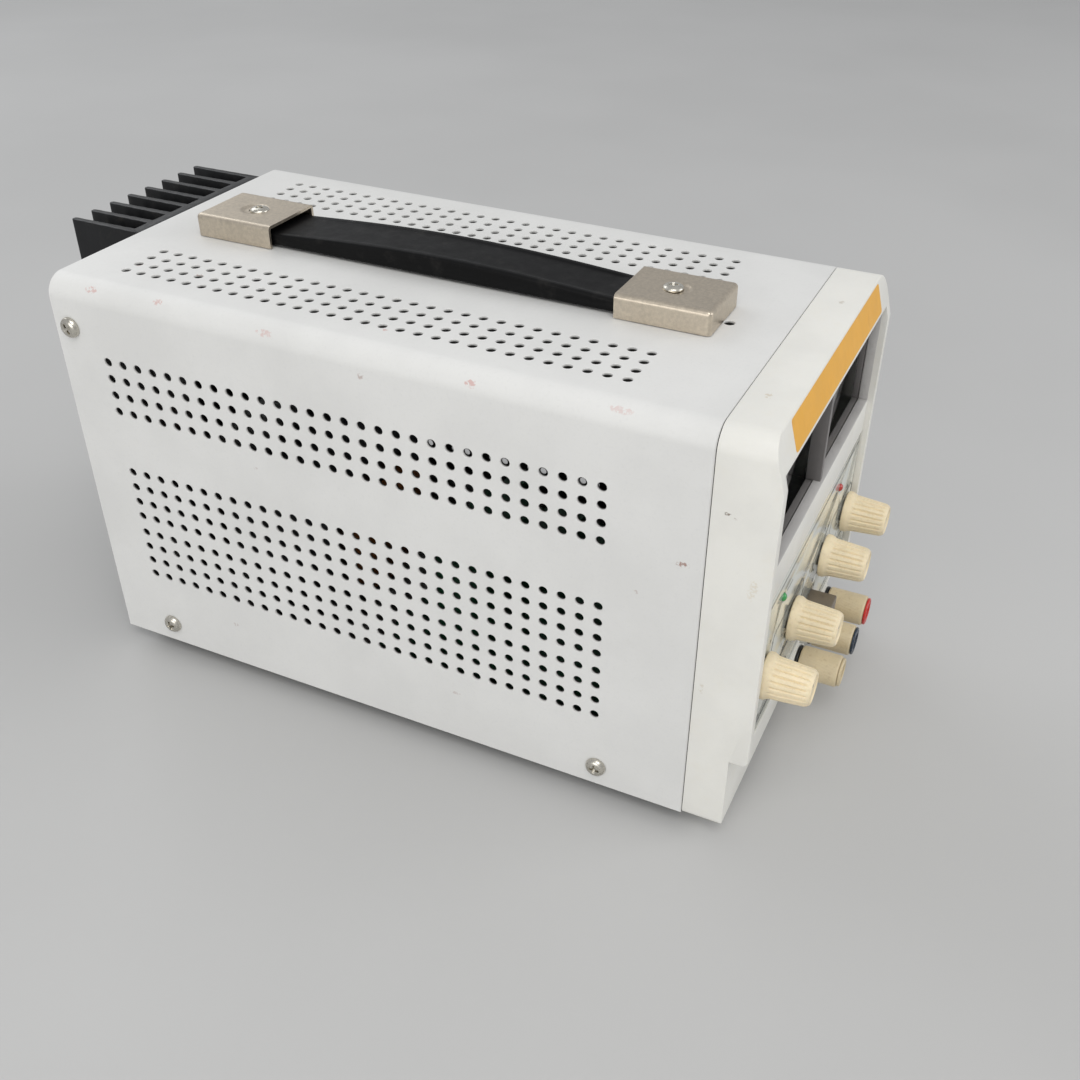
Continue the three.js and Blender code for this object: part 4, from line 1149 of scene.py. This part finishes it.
# ------------------------------------------------------------------ back
def sink_mesh():
    a, b = nbox("heat_sink")
    x0, fins, pitch = -17.6, 8, 9.4
    base0, base1, rear = 113.35, 118.0, b[1]
    pts = [(x0 - 1.45, base0), (x0 + pitch * (fins - 1) + 1.45, base0)]
    for i in range(fins - 1, -1, -1):
        c = x0 + i * pitch
        right, left = [], []
        steps = 18
        for k in range(steps + 1):
            t = k / steps
            y = base1 + (rear - 0.9 - base1) * t
            w = 1.42 - 0.32 * t + 0.07 * math.sin(t * steps * 0.5 * PI) * (1 if 0 < k < steps else 0)
            right.append((c + w, y))
            left.append((c - w, y))
        tipw = 1.08
        tip = [(c + tipw * math.cos(u), rear - 0.9 + 0.9 * math.sin(u)) for u in [PI * q / 8 for q in range(1, 8)]]
        pts += right + tip + left[::-1]
        if i > 0:
            pts.append((c - 1.42 - 0.6, base1 - 0.15))
            pts.append((c - pitch + 1.42 + 0.6, base1 - 0.15))
    me = prism("sink", pts, "z", 41.0, b[2])
    me = applied(me, ("BEVEL", dict(width=0.22 * M, segments=2, limit_method="ANGLE", angle_limit=math.radians(50))))
    pad = boxm("pad", -9.0, 41.0, 108.4, 113.6, 62.0, 128.0, 0.3)
    return join(me, pad)


piece("heat_sink_extrusion", sink_mesh(), "sink", "case", ("heat_sink",), 34)
refine("rear_panel", "steel", 0.2, 2, "case")
refine("chassis_tray", "steel", 0.25, 2, "case")
refine("mains_inlet", "black", 0.35, 2, "case")
refine("fuse_drawer", "black", 0.25, 2, "fuse_holder")
pins = []
for x, z in ((-47.5, 35.0), (-33.5, 35.0), (-40.5, 39.0)):
    pins.append(boxm("pin", x - 1.0, x + 1.0, 97.0, 110.4, z - 2.0, z + 2.0, 0.45, 3))
piece("inlet_pins", join(*pins), "pin", "case", (), 34)
# inlet fixings on the rear panel
small = phillips(2.7, 1.5, 1.2, 1.2)
heads = []
for i, (x, z, y) in enumerate(((-53.4, 47.0, 114.2), (-27.6, 47.0, 114.2))):
    mat = Matrix.Translation(Vector((x, y - 0.35, z)) * M) @ Matrix.Rotation(-PI / 2, 4, "X") @ Matrix.Rotation(0.4 + i, 4, "Z")
    heads.append(placed(small, mat))
piece("rear_fixings", join(*heads), "screw", "case", (), 34)

# ------------------------------------------------------------------ inside and feet
refine("power_transistor", "black", 0.3, 2, "case")
refine("transformer_core", "iron", 0.3, 2, "case")
refine("transformer_winding", "copper", 0.8, 2, "case")
refine("control_board", "board", 0.2, 1, "case")
for n in ("foot_front_left", "foot_front_right", "foot_rear_left", "foot_rear_right"):
    refine(n, "rubber", 0.5, 3, "case")

# carried-over CAD nodes also get a procedural finish
BY_SLOT = {
    "cover_paint": "cover", "bezel_plastic": "bezel", "panel_print": "panel", "frame_plastic": "frame", "smoked_pane": "pane", "readout_plastic": "readout",
    "green_lens": "green", "red_lens": "lens_red", "ivory_plastic": "knob", "turned_steel": "shaft", "black_plastic": "black", "button_plastic": "button",
    "brass_stud": "brass", "red_disc": "red", "navy_disc": "navy", "plain_disc": "plain", "strap_vinyl": "strap", "nickel_sheet": "nickel", "screw_nickel": "screw",
    "chassis_sheet": "steel", "anodised_black": "sink", "core_laminations": "iron", "winding_copper": "copper", "circuit_board": "board", "foot_rubber": "rubber",
}
for sp in frame["record"].get("subparts", []):
    ob = NODES[sp["node"]]
    ob.data.materials.clear()
    ob.data.materials.append(MAT[BY_SLOT[sp["material_slot"]]])

# ------------------------------------------------------------------ stage
floor_me = bpy.data.meshes.new("floor")
floor_me.from_pydata([(-3, -3, 0), (3, -3, 0), (3, 3, 0), (-3, 3, 0)], [], [(0, 1, 2, 3)])
floor = bpy.data.objects.new("floor", floor_me)
bpy.context.scene.collection.objects.link(floor)
fm = Mat("floor_pale")
fm.link(fm.mix(fm.rng(fm.noise(3.0, 3.0), 0.3, 0.7), (0.50, 0.50, 0.495), (0.53, 0.53, 0.525)), fm.b.inputs["Base Color"])
fm.b.inputs["Roughness"].default_value = 0.75
floor_me.materials.append(fm.m)

world = bpy.data.worlds.new("studio")
bpy.context.scene.world = world
world.use_nodes = True
bg = world.node_tree.nodes["Background"]
bg.inputs["Color"].default_value = (0.97, 0.98, 1.0, 1.0)
bg.inputs["Strength"].default_value = 0.53


def area(name, loc, target, size, power, color=(1, 1, 1)):
    d = bpy.data.lights.new(name, "AREA")
    d.shape = "RECTANGLE"
    d.size, d.size_y = size
    d.energy = power
    d.color = color
    ob = bpy.data.objects.new(name, d)
    ob.location = loc
    ob.rotation_mode = "QUATERNION"
    ob.rotation_quaternion = (Vector(target) - Vector(loc)).to_track_quat("-Z", "Y")
    bpy.context.scene.collection.objects.link(ob)
    return ob


area("key", (-0.9, -0.5, 1.5), (0, 0, 0.06), (1.1, 1.1), 11.5, (1.0, 0.985, 0.96))
area("side", (-1.6, 0.1, 0.45), (0, 0, 0.05), (1.0, 0.7), 5.6, (1.0, 0.99, 0.97))
area("back", (0.5, 1.3, 1.1), (0, 0, 0.08), (1.2, 0.7), 5, (0.96, 0.98, 1.0))
area("front", (0.5, -1.4, 0.7), (0, -0.1, 0.06), (0.9, 0.7), 5, (1.0, 1.0, 1.0))

# ------------------------------------------------------------------ camera
cam_data = bpy.data.cameras.new("camera")
cam = bpy.data.objects.new("camera", cam_data)
bpy.context.scene.collection.objects.link(cam)
F, CX, CY = 1197.875, 569.429, 544.387
right = Vector((0.41543751459, -0.90951278614, 0.01407704927))
down = Vector((-0.51461285322, -0.24776403844, -0.82084504784))
ahead = Vector((0.75005685303, 0.33376559605, -0.57097744625))
rot = Matrix((right, -down, -ahead)).transposed().to_4x4()
cam.matrix_world = Matrix.Translation(Vector((-0.32242, -0.18597, 0.29580))) @ rot
cam_data.sensor_width = 36.0
cam_data.lens = F / 1080 * 36.0
cam_data.shift_x = -(CX - 540) / 1080
cam_data.shift_y = (CY - 540) / 1080
cam_data.clip_start = 0.01
cam_data.clip_end = 50
cam_data.dof.use_dof = False
bpy.context.scene.camera = cam
bpy.context.scene.view_settings.view_transform = "Standard"
